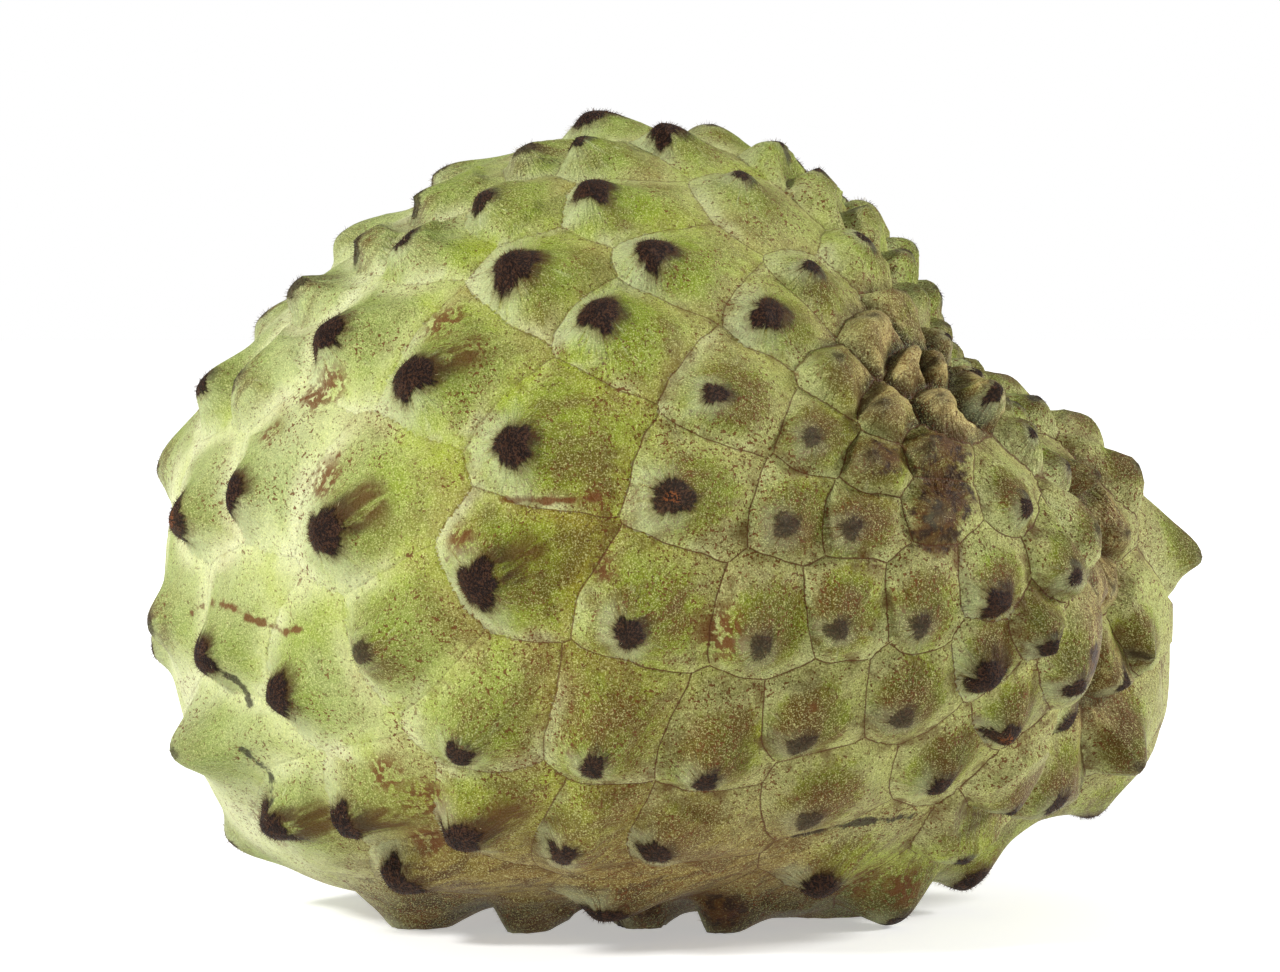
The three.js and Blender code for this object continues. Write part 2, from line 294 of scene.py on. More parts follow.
@dataclass
class Carpels:
    """Every carpel of the fruit, placed as part of one rule, with arrays of one row per carpel."""

    body: FruitBody
    eye: Eye
    width_at_hollow: float = 4.5
    width_growth: float = 0.2
    widest: float = 18
    ridge_pull: float = 0.45
    half_reach: float = 0.62
    fall: float = 2.8
    cushion_edge: float = 0.14
    fade_up: float = 0.27
    fade_down: float = 0.13
    seed: int = 11

    def __post_init__(self) -> None:
        """Places the seen, resting and filling carpels."""
        self.feet = np.zeros((0, 3))
        self.ridges = np.zeros((0, 3))
        self.across = np.zeros((0, 3))
        self.rises = np.zeros((0, 3))
        self.kinds: list[Kind] = []
        self.caps: list[Cap] = []
        self.draw = np.random.default_rng(self.seed)
        self.hollow = self.body.hollow()
        for group in FRONT_GROUPS:
            self._add_seen(group, False)
        for group in FAR_GROUPS:
            self._add_seen(group, True)
        for x, y in REST_PLACES:
            floor = np.array([x, y, 0.0])
            direction = self.sight(floor - [0, 0, 200], floor, self._lift(Kind.REST), False)
            self._add(direction, Kind.REST, Cap.SMALL, self.hollow - self.body.on(direction))
        self._fill()
        self.widths = self.width(self.feet)
        self.tones = self.draw.uniform(-1, 1, len(self.feet))
        self.cap_dark = np.array([cap.value.dark for cap in self.caps])
        self.cap_core = np.array([cap.value.core for cap in self.caps])
        spread = self.draw.uniform(0.88, 1.12, len(self.feet))
        radius = np.array([cap.value.radius for cap in self.caps])
        self.cap_radius = radius * np.clip(self.widths / 15, 0.45, 1.05) * spread
        self.cap_phases = self.draw.uniform(0, 2 * math.pi, (len(self.feet), 4))

    def width(self, points: np.ndarray) -> np.ndarray:
        """How wide a carpel is at these points."""
        away = np.linalg.norm(points - self.hollow, axis=-1)
        return np.minimum(self.widest, self.width_at_hollow + self.width_growth * away)

    def height_share(self, widths: np.ndarray) -> np.ndarray:
        """How much of its kind's full height a carpel of this width has."""
        return 0.45 + 0.55 * widths / self.widest

    def _lift(self, kind: Kind) -> float:
        """Full height of a kind's tip over the bare body."""
        return kind.value.tip + kind.value.cushion

    def sight(
        self, start: np.ndarray, through: np.ndarray, lift: float, far_side: bool
    ) -> np.ndarray:
        """Follows a line of sight to the fruit.

        Args:
            start: Where the line starts.
            through: A point that it runs through.
            lift: Height over the bare body, on the widest carpel, of what is looked for.
            far_side: Whether the line is followed from its far end.

        Returns:
            The unit direction from the core of the place met, or of the place passed closest.
        """
        ray = unit(through - start)
        middle = (self.body.core - start) @ ray
        steps = 720
        share = 2 * np.arange(steps + 1) / steps - 1
        along = middle + 2 * self.body.ball_radius * (-share if far_side else share)
        places = start + ray * along[:, None]
        directions = self.body.towards(places)
        height = lift * self.height_share(self.width(places))
        above = np.linalg.norm(places - self.body.core, axis=1) - self.body.radius(directions)
        met = np.nonzero(above <= height)[0]
        return directions[met[0] if len(met) else np.argmin(above - height)]

    def _add(self, direction: np.ndarray, kind: Kind, cap: Cap, climb: np.ndarray) -> None:
        """Adds one carpel.

        Args:
            direction: Where its foot is, as a unit vector from the core.
            kind: How it rises.
            cap: How its cap looks.
            climb: Which way its ridge climbs, before it is laid on the body.
        """
        foot = self.body.on(direction)
        normal = self.body.normal(direction)
        ridge = unit(climb - (climb @ normal) * normal)
        self.feet = np.vstack([self.feet, foot])
        self.ridges = np.vstack([self.ridges, ridge])
        self.across = np.vstack([self.across, np.cross(normal, ridge)])
        self.rises = np.vstack([self.rises, normal - kind.value.lean * ridge])
        self.kinds.append(kind)
        self.caps.append(cap)

    def _add_seen(self, group: Group, far_side: bool) -> None:
        """Adds a group's carpels where the eye sees their tips.

        Args:
            group: What they share, and their places.
            far_side: Whether they are behind the outline.
        """
        angle = math.radians(group.slope)
        climb = np.array([math.cos(angle), 0, math.sin(angle)])
        for x, z in group.at:
            direction = self.sight(
                np.array(self.eye.place), np.array([x, 0.0, z]), self._lift(group.kind), far_side
            )
            self._add(direction, group.kind, group.cap, climb)

    def _on_shoulder(self, spot: np.ndarray) -> bool:
        """Whether a spot is on the shoulder over the flower end, where the caps stay faint."""
        return bool(spot[0] < -12 and spot[1] < 14 and spot[2] > 45)

    def _fill(self) -> None:
        """Fills the rest of the skin: each new carpel goes where there is most room for one."""
        tries = 3000
        fits = 0.72
        golden = math.pi * (3 - math.sqrt(5))
        order = np.arange(tries)
        z = 1 - (2 * order + 1) / tries
        ring = np.sqrt(1 - z * z)
        directions = np.stack([ring * np.cos(golden * order), ring * np.sin(golden * order), z], 1)
        spots = self.body.on(directions)
        widths = self.width(spots)
        room = np.linalg.norm(spots[:, None] - self.feet[None], axis=2).min(1) / widths
        looks = (Cap.DARK, Cap.SMALL, Cap.SMEARED, Cap.FAINT, Cap.CORED, Cap.GREEN)
        wide = (0.34, 0.24, 0.12, 0.18, 0.06, 0.06)
        narrow = (0, 0.3, 0, 0.2, 0, 0.5)
        while True:
            best = int(np.argmax(room))
            if room[best] < fits:
                return
            size = widths[best] / self.widest
            kind = Kind.BROAD if size > 0.85 else Kind.MIDDLE if size > 0.6 else Kind.KNOB
            cap = looks[int(self.draw.choice(len(looks), p=wide if size > 0.6 else narrow))]
            if self._on_shoulder(spots[best]):
                cap = Cap.GREEN if cap is Cap.FAINT else Cap.FAINT
            self._add(directions[best], kind, cap, self.hollow - spots[best])
            room = np.minimum(room, np.linalg.norm(spots - spots[best], axis=1) / widths)

    def cap_edge(self, holder: np.ndarray, aside: np.ndarray, climb: np.ndarray) -> np.ndarray:
        """How far a cap reaches towards a place. Each cap has its own outline.

        Args:
            holder: The number of each place's carpel.
            aside: How far it is beside the tip.
            climb: How far it is up the ridge from the tip.

        Returns:
            The cap's radius in the direction of each place.
        """
        turn = np.arctan2(aside, climb)
        phase = self.cap_phases[holder]
        edge = 1 + 0.12 * np.abs(np.cos(turn))
        for number, (waves, swing) in enumerate(((2, 0.1), (3, 0.12), (5, 0.08), (8, 0.05))):
            edge += swing * np.cos(waves * turn + phase[..., number])
        return self.cap_radius[holder] * edge

    def claims(self, points: np.ndarray) -> np.ndarray:
        """How far each point is from each carpel's hold.

        Args:
            points: Points of the bare body.

        Returns:
            One row per point. The carpel with the least number holds it.
        """
        out = np.empty((len(points), len(self.feet)), np.float32)
        block = 4000
        for start in range(0, len(points), block):
            offset = points[start : start + block, None] - self.feet[None]
            climb = np.einsum("pck,ck->pc", offset, self.ridges)
            out[start : start + block] = np.linalg.norm(offset, axis=2) - self.ridge_pull * climb
        return out

    def split(self, points: np.ndarray, first: np.ndarray, second: np.ndarray) -> np.ndarray:
        """How fast the difference of two carpels' claims grows with distance from their seam.

        Args:
            points: Points of the bare body.
            first: The number of each point's own carpel.
            second: The number of the carpel across the nearest seam.

        Returns:
            The growth per millimetre.
        """

        def pull(index: np.ndarray) -> np.ndarray:
            """Which way a carpel's claim grows fastest at each point, and how fast."""
            offset = points - self.feet[index]
            away = np.linalg.norm(offset, axis=-1, keepdims=True)
            return offset / np.maximum(away, 1e-9) - self.ridge_pull * self.ridges[index]

        return np.maximum(np.linalg.norm(pull(second) - pull(first), axis=-1), 0.3)


@dataclass(frozen=True)
class Marks:
    """Scars and stains of this fruit, each as pixels of the photograph's frame (column, row)."""

    scratches: tuple[tuple[Place, ...], ...] = (
        ((190, 612), (213, 600), (235, 603), (255, 621), (282, 633), (298, 628)),
        ((300, 398), (318, 388), (338, 377)),
        ((318, 492), (326, 470), (336, 452)),
        ((500, 497), (540, 500), (600, 498)),
        ((445, 560), (458, 545), (470, 530)),
    )
    cracks: tuple[tuple[Place, ...], ...] = (
        ((252, 748), (262, 778), (276, 800)),
        ((226, 655), (236, 680), (246, 706)),
        ((290, 815), (312, 836)),
        ((800, 842), (850, 830), (885, 822), (915, 820)),
    )
    stains: tuple[tuple[float, float, float], ...] = (
        (314, 394, 2.0), (332, 382, 2.2), (326, 478, 2.4), (275, 430, 1.5), (462, 540, 1.8),
        (385, 775, 2.2), (360, 660, 1.2), (604, 568, 1.2), (850, 888, 4.0), (905, 880, 2.6),
        (425, 805, 3.0), (425, 845, 2.4), (722, 632, 3.0), (265, 830, 3.0), (445, 320, 2.4),
    )
    bruises: tuple[tuple[float, float, float], ...] = (
        (948, 492, 4.6), (938, 530, 4.0), (945, 450, 3.6), (883, 458, 2.8), (1078, 570, 2.6),
        (640, 908, 3.6), (728, 905, 3.4), (905, 903, 3.0), (1082, 650, 2.4), (510, 918, 2.2),
    )
    fold: tuple[Place, ...] = ((1078, 480), (1090, 560), (1092, 620), (1096, 690))
    crowd: Place = (925, 375)


@dataclass
class SkinSurface:
    """The skin as arrays: places and faces, and for each face corner what its colours need."""

    body: FruitBody
    carpels: Carpels
    marks: Marks = Marks()
    split: int = 98
    crowding: float = 0.16

    def directions(self) -> tuple[np.ndarray, np.ndarray]:
        """A ball of even triangles, drawn together somewhat towards the stem hollow.

        Returns:
            Unit directions, and faces as rows of three indices into them.
        """
        g = (1 + math.sqrt(5)) / 2
        corners = unit(
            np.array(
                [[-1, g, 0], [1, g, 0], [-1, -g, 0], [1, -g, 0], [0, -1, g], [0, 1, g],
                 [0, -1, -g], [0, 1, -g], [g, 0, -1], [g, 0, 1], [-g, 0, -1], [-g, 0, 1]]
            )
        )
        sides = [
            (0, 11, 5), (0, 5, 1), (0, 1, 7), (0, 7, 10), (0, 10, 11), (1, 5, 9), (5, 11, 4),
            (11, 10, 2), (10, 7, 6), (7, 1, 8), (3, 9, 4), (3, 4, 2), (3, 2, 6), (3, 6, 8),
            (3, 8, 9), (4, 9, 5), (2, 4, 11), (6, 2, 10), (8, 6, 7), (9, 8, 1),
        ]
        n = self.split
        steps = [(i, j) for i in range(n + 1) for j in range(n + 1 - i)]
        number = {step: k for k, step in enumerate(steps)}
        grid = np.array(steps, float) / n
        small = [(number[i, j], number[i + 1, j], number[i, j + 1]) for i, j in steps if i + j < n]
        small += [
            (number[i + 1, j], number[i + 1, j + 1], number[i, j + 1])
            for i, j in steps
            if i + j < n - 1
        ]
        places, faces = [], []
        for a, b, c in sides:
            i, j = grid[:, :1], grid[:, 1:]
            faces.append(np.array(small) + len(places) * len(steps))
            places.append(corners[a] * (1 - i - j) + corners[b] * i + corners[c] * j)
        flat = unit(np.vstack(places))
        _, keep, back = np.unique(np.round(flat, 6), axis=0, return_index=True, return_inverse=True)
        towards_hollow = unit(np.array(self.body.hollow_toward))
        return unit(flat[keep] + self.crowding * towards_hollow), back.reshape(-1)[np.vstack(faces)]

    def build(self) -> None:
        """Works out every array."""
        directions, self.faces = self.directions()
        self.bare = self.body.on(directions)
        claims = self.carpels.claims(self.wobbled(self.bare))
        self.holder, seam = self.held(self.bare, claims)
        self.places = self.raised(self.bare, self.holder, seam)
        self._corners(claims)
        triangles = self.places[self.faces]
        facing = np.cross(triangles[:, 1] - triangles[:, 0], triangles[:, 2] - triangles[:, 0])
        self.normals = np.zeros_like(self.places)
        for side in range(3):
            np.add.at(self.normals, self.faces[:, side], facing)

    def held(self, bare: np.ndarray, claims: np.ndarray) -> tuple[np.ndarray, np.ndarray]:
        """Finds the carpel that holds each point.

        Args:
            bare: Points of the bare body.
            claims: How far each is from each carpel's hold.

        Returns:
            The number of each point's carpel, and its distance from the seam in millimetres.
        """
        first, second = nearest_two(claims)
        rows = np.arange(len(bare))
        gap = claims[rows, second] - claims[rows, first]
        return first, gap / self.carpels.split(bare, first, second)

    def wobbled(self, points: np.ndarray) -> np.ndarray:
        """Moves points a little to and fro, so that the seams between carpels aren't straight.

        Args:
            points: Points of the bare body.

        Returns:
            The moved points.
        """
        draw = np.random.default_rng(self.carpels.seed + 2)
        out = points.copy()
        for wave_length, swing in ((16.0, 0.4), (7.0, 0.16), (2.6, 0.07)):
            for _ in range(4):
                wave, way = unit(draw.normal(size=(2, 3)))
                phase = draw.uniform(0, 2 * math.pi)
                swings = np.sin(points @ wave * 2 * math.pi / wave_length + phase)
                out += swing * way * swings[:, None]
        return out

    def seen_at(self, pixels: tuple[Place, ...]) -> list[np.ndarray]:
        """The skin's points that some pixels show.

        Args:
            pixels: Columns and rows in the photograph's frame.

        Returns:
            The points, in millimetres.
        """
        eye = self.carpels.eye
        start = np.array(eye.place)
        lift = 0.8
        directions = [
            self.carpels.sight(start, eye.plane_point(*pixel), lift, False) for pixel in pixels
        ]
        bare = self.body.on(np.array(directions))
        return list(self.raised(bare, *self.held(bare, self.carpels.claims(self.wobbled(bare)))))

    def _numbers(self, name: str) -> np.ndarray:
        """One of the kinds' values for every carpel."""
        return np.array([getattr(kind.value, name) for kind in self.carpels.kinds])

    def raised(self, bare: np.ndarray, holder: np.ndarray, seam: np.ndarray) -> np.ndarray:
        """The skin over points of the bare body.

        Args:
            bare: Points of the bare body.
            holder: The number of each point's carpel.
            seam: How far each point is from the nearest seam.

        Returns:
            The points raised by their carpels' cushions and tips.
        """
        c = self.carpels
        width = c.widths[holder]
        offset = bare - c.feet[holder]
        climb = np.einsum("pk,pk->p", offset, c.ridges[holder])
        aside = np.einsum("pk,pk->p", offset, c.across[holder])
        tip, cushion, up, down, side = (
            self._numbers(name)[holder] for name in ("tip", "cushion", "up", "down", "side")
        )
        reach = np.hypot(climb / (np.where(climb > 0, up, down) * width), aside / (side * width))
        fade = c.fade_down + (c.fade_up - c.fade_down) * smooth_step(0.5 + 2.5 * climb / width)
        height = cushion * (1 - np.exp(-seam / (c.cushion_edge * width)))
        height += tip / (1 + (reach / c.half_reach) ** c.fall) * smooth_step(seam / (fade * width))
        out = bare + c.rises[holder] * (height * c.height_share(width))[:, None]
        out[:, 2] = np.maximum(out[:, 2], 0)
        return out

    def _nearness(self) -> np.ndarray:
        """Measures how near each point is to the broad marks.

        Returns:
            Three numbers for each point: its distance from a stain and from a bruise, both as
            shares of the mark's size, and from the fold in millimetres.
        """
        columns = []
        for spots in (self.marks.stains, self.marks.bruises):
            middles = self.seen_at(tuple((column, row) for column, row, _ in spots))
            sizes = [size for _, _, size in spots]
            away = [
                np.linalg.norm(self.places - middle, axis=1) / size
                for middle, size in zip(middles, sizes)
            ]
            columns.append(np.min(away, axis=0))
        fold = self.seen_at(self.marks.fold)
        away = []
        for start, end in zip(fold, fold[1:]):
            run = end - start
            share = np.clip((self.places - start) @ run / (run @ run), 0, 1)
            away.append(np.linalg.norm(self.places - start - share[:, None] * run, axis=1))
        columns.append(np.min(away, axis=0))
        return np.stack(columns, 1)

    def _corners(self, claims: np.ndarray) -> None:
        """Fills the face corners' arrays, each face by the carpel that holds its middle.

        Args:
            claims: How far each point is from each carpel's hold, one row per point.
        """
        c = self.carpels
        corner = self.faces.reshape(-1)
        first, second = (np.repeat(index, 3) for index in nearest_two(claims[self.faces].mean(1)))
        points = self.bare[corner]
        gap = claims[corner, second] - claims[corner, first]
        self.seam = gap / c.split(points, first, second)
        offset = points - c.feet[first]
        self.from_tip = np.stack(
            [
                np.einsum("pk,pk->p", offset, c.across[first]),
                np.einsum("pk,pk->p", offset, c.ridges[first]),
                c.widths[first],
            ],
            1,
        )
        self.nearness = self._nearness()[corner]
        brown, smear = (
            np.array([getattr(cap.value, name) for cap in c.caps]) for name in ("brown", "smear")
        )
        dark, core = c.cap_dark[first], c.cap_core[first]
        radius = c.cap_edge(first, self.from_tip[:, 0], self.from_tip[:, 1])
        self.cap = np.stack([radius, dark, core], 1)
        self.tint = np.stack([brown, smear, c.tones], 1)[first]


def linear(red: int, green: int, blue: int) -> Shade:
    """Turns a screen's colour into a shader's.

    Args:
        red: Red as a screen shows it, 0 to 255.
        green: Green.
        blue: Blue.

    Returns:
        Linear red, green, blue and full opacity.
    """

    def channel(value: int) -> float:
        """One channel's share of full light."""
        share = value / 255
        return share / 12.92 if share <= 0.04045 else ((share + 0.055) / 1.055) ** 2.4

    return (channel(red), channel(green), channel(blue), 1.0)


class Value:
    """A socket of a node tree. Python's operators on it add Math nodes."""

    def __init__(self, sheet: "Nodes", socket: bpy.types.NodeSocket) -> None:
        """Wraps a socket of a sheet's tree."""
        self.sheet = sheet
        self.socket = socket

    def __add__(self, other: "Value | float") -> "Value":
        """Sum."""
        return self.sheet.math("ADD", self, other)

    def __sub__(self, other: "Value | float") -> "Value":
        """Difference."""
        return self.sheet.math("SUBTRACT", self, other)

    def __rsub__(self, other: float) -> "Value":
        """Difference, from a plain number."""
        return self.sheet.math("SUBTRACT", other, self)

    def __mul__(self, other: "Value | float") -> "Value":
        """Product."""
        return self.sheet.math("MULTIPLY", self, other)

    def __truediv__(self, other: "Value | float") -> "Value":
        """Quotient."""
        return self.sheet.math("DIVIDE", self, other)

    __radd__ = __add__
    __rmul__ = __mul__

    def at_least(self, other: "Value | float") -> "Value":
        """The greater of the two."""
        return self.sheet.math("MAXIMUM", self, other)

    def at_most(self, other: "Value | float") -> "Value":
        """The smaller of the two."""
        return self.sheet.math("MINIMUM", self, other)


class Nodes:
    """A node tree, with short calls that add nodes to it."""

    def __init__(self, tree: bpy.types.NodeTree) -> None:
        """Starts the tree empty."""
        self.tree = tree
        tree.nodes.clear()

    def node(self, kind: str, settings: dict, **sockets: object) -> bpy.types.Node:
        """Adds a node.

        Args:
            kind: The node's type.
            settings: Properties set on the node first.
            **sockets: Values or links by socket name, with _ for a space.

        Returns:
            The node.
        """
        made = self.tree.nodes.new(kind)
        for name, value in settings.items():
            setattr(made, name, value)
        for name, value in sockets.items():
            self.feed(made.inputs[name.replace("_", " ")], value)
        return made

    def feed(self, socket: bpy.types.NodeSocket, value: object) -> None:
        """Links a Value to a socket, or sets a plain value on it.

        Args:
            socket: An input of a node.
            value: The Value or plain value.
        """
        if isinstance(value, Value):
            self.tree.links.new(value.socket, socket)
        else:
            socket.default_value = value

    def math(self, operation: str, *values: "Value | float") -> Value:
        """A Math node on one or two values.

        Args:
            operation: What it does.
            *values: What it works on.

        Returns:
            Its result.
        """
        made = self.node("ShaderNodeMath", {"operation": operation})
        for socket, value in zip(made.inputs, values):
            self.feed(socket, value)
        return Value(self, made.outputs[0])


class Sheet(Nodes):
    """The node tree of a material or of the world, with short calls for shading."""

    def __init__(self, owner: bpy.types.Material | bpy.types.World) -> None:
        """Starts the owner's node tree empty.

        Args:
            owner: The material or world.
        """
        owner.use_nodes = True
        super().__init__(owner.node_tree)
        self.owner = owner

    def vector(
        self, operation: str, *values: "Value | Point", scale: "Value | float | None" = None
    ) -> Value:
        """A Vector Math node.

        Args:
            operation: What it does.
            *values: The vectors that it works on.
            scale: The number that SCALE multiplies by.

        Returns:
            A vector, or a number for a dot product, a length or a distance.
        """
        made = self.node("ShaderNodeVectorMath", {"operation": operation})
        for socket, value in zip(made.inputs, values):
            self.feed(socket, value)
        if scale is not None:
            self.feed(made.inputs["Scale"], scale)
        number = operation in ("DOT_PRODUCT", "LENGTH", "DISTANCE")
        return Value(self, made.outputs["Value" if number else "Vector"])

    def ramp(self, value: Value, low: float, high: float) -> Value:
        """Turns a span of a number into 0 to 1.

        Args:
            value: The number.
            low: Where the result is 0.
            high: Where the result is 1.

        Returns:
            The result, smooth between.
        """
        made = self.node("ShaderNodeMapRange", {"interpolation_type": "SMOOTHSTEP"})
        for name, number in (("Value", value), ("From Min", low), ("From Max", high)):
            self.feed(made.inputs[name], number)
        return Value(self, made.outputs["Result"])

    def fall(self, value: Value, low: float, high: float) -> Value:
        """1 where value is at low, 0 where it is at high, smooth between."""
        return 1 - self.ramp(value, low, high)

    def mix(self, share: "Value | float", below: "Value | tuple", above: "Value | tuple") -> Value:
        """A colour between two, by share.

        Args:
            share: How much of the second.
            below: The first colour.
            above: The second colour.

        Returns:
            The mixed colour.
        """
        made = self.node("ShaderNodeMix", {"data_type": "RGBA"})
        for place, value in ((0, share), (6, below), (7, above)):
            self.feed(made.inputs[place], value)
        return Value(self, made.outputs[2])

    def noise(
        self,
        place: Value,
        size: float,
        detail: float = 2,
        rough: float = 0.5,
        w: "Value | float" = 0,
    ) -> Value:
        """A field of noise. Fine noise has three dimensions, which is quicker, the rest has four.

        Args:
            place: Where the noise is read.
            size: About how large its grains are, in millimetres.
            detail: How many finer layers it has.
            rough: How strong the finer layers are.
            w: Picks another field of the same kind.

        Returns:
            The noise, from 0 to 1 and mostly about 0.5.
        """
        settings = {"Scale": 1 / size, "Detail": detail, "Roughness": rough}
        if size < FINE_NOISE and not isinstance(w, Value):
            settings["Vector"] = self.vector("ADD", place, tuple(w * step for step in NOISE_STEPS))
            made = self.node("ShaderNodeTexNoise", {"noise_dimensions": "3D"}, **settings)
        else:
            settings |= {"Vector": place, "W": w}
            made = self.node("ShaderNodeTexNoise", {"noise_dimensions": "4D"}, **settings)
        return Value(self, made.outputs["Fac"])

    def attribute(self, name: str, output: str = "Vector") -> Value:
        """A mesh attribute, as a vector, or as a number from the output Fac."""
        made = self.node("ShaderNodeAttribute", {"attribute_name": name})
        return Value(self, made.outputs[output])

    def parts(self, vector: Value) -> tuple[Value, Value, Value]:
        """A vector's three numbers."""
        made = self.node("ShaderNodeSeparateXYZ", {}, Vector=vector)
        return tuple(Value(self, socket) for socket in made.outputs)

    def join(self, x: "Value | float", y: "Value | float", z: "Value | float") -> Value:
        """A vector from three numbers."""
        return Value(self, self.node("ShaderNodeCombineXYZ", {}, X=x, Y=y, Z=z).outputs[0])

    def object_place(self) -> Value:
        """The place in the object's own frame, in millimetres."""
        place = Value(self, self.node("ShaderNodeTexCoord", {}).outputs["Object"])
        return self.vector("SCALE", place, scale=1 / MM)

    def finish(self, kind: str, **sockets: object) -> None:
        """Ends a material with one shader of this kind.

        Args:
            kind: The shader node's type.
            **sockets: Its values or links by socket name.
        """
        shader = self.node(kind, {}, **sockets)
        out = self.node("ShaderNodeOutputMaterial", {})
        self.tree.links.new(shader.outputs[0], out.inputs["Surface"])

    def near_path(self, place: Value, path: list[np.ndarray]) -> Value:
        """Measures the distance from a path of straight runs.

        Args:
            place: Where it is measured.
            path: The points that the runs join.

        Returns:
            The distance in millimetres.
        """
        nearest: Value | None = None
        for start, end in zip(path, path[1:]):
            run = end - start
            away = self.vector("SUBTRACT", place, tuple(start))
            along = self.vector("DOT_PRODUCT", away, tuple(run / (run @ run)))
            along = along.at_least(0).at_most(1)
            beside = self.vector("SUBTRACT", away, self.vector("SCALE", tuple(run), scale=along))
            distance = self.vector("LENGTH", beside)
            nearest = distance if nearest is None else nearest.at_most(distance)
        return nearest


@dataclass(frozen=True)
class SkinFinish:
    """The green skin: pale to olive, mottled, flecked with rust, lined by seams, with dry tips.
    Some of its paleness, darkening and glints are painted light and shade.
    """

    pale: Shade = linear(216, 219, 174)
    mint: Shade = linear(196, 206, 158)
    green: Shade = linear(154, 168, 50)
    olive: Shade = linear(134, 120, 16)
    leaf: Shade = linear(110, 134, 8)
    olive_dark: Shade = linear(84, 76, 8)
    rim: Shade = linear(176, 178, 116)
    tan: Shade = linear(186, 162, 104)
    # Colour of the painted glint highlights.
    glint_highlight: Shade = linear(224, 224, 150)
    brown: Shade = linear(84, 52, 10)
    earth: Shade = linear(128, 100, 50)
    rust: Shade = linear(100, 54, 16)
    dark: Shade = linear(32, 18, 12)
    dry: Shade = linear(86, 56, 38)
    core: Shade = linear(160, 92, 44)
    red: Shade = linear(72, 36, 20)
    line: Shade = linear(84, 48, 18)

    def make(self, surface: SkinSurface) -> bpy.types.Material:
        """Builds the material for the skin of this surface."""
        return SkinCoat(self, surface).material()


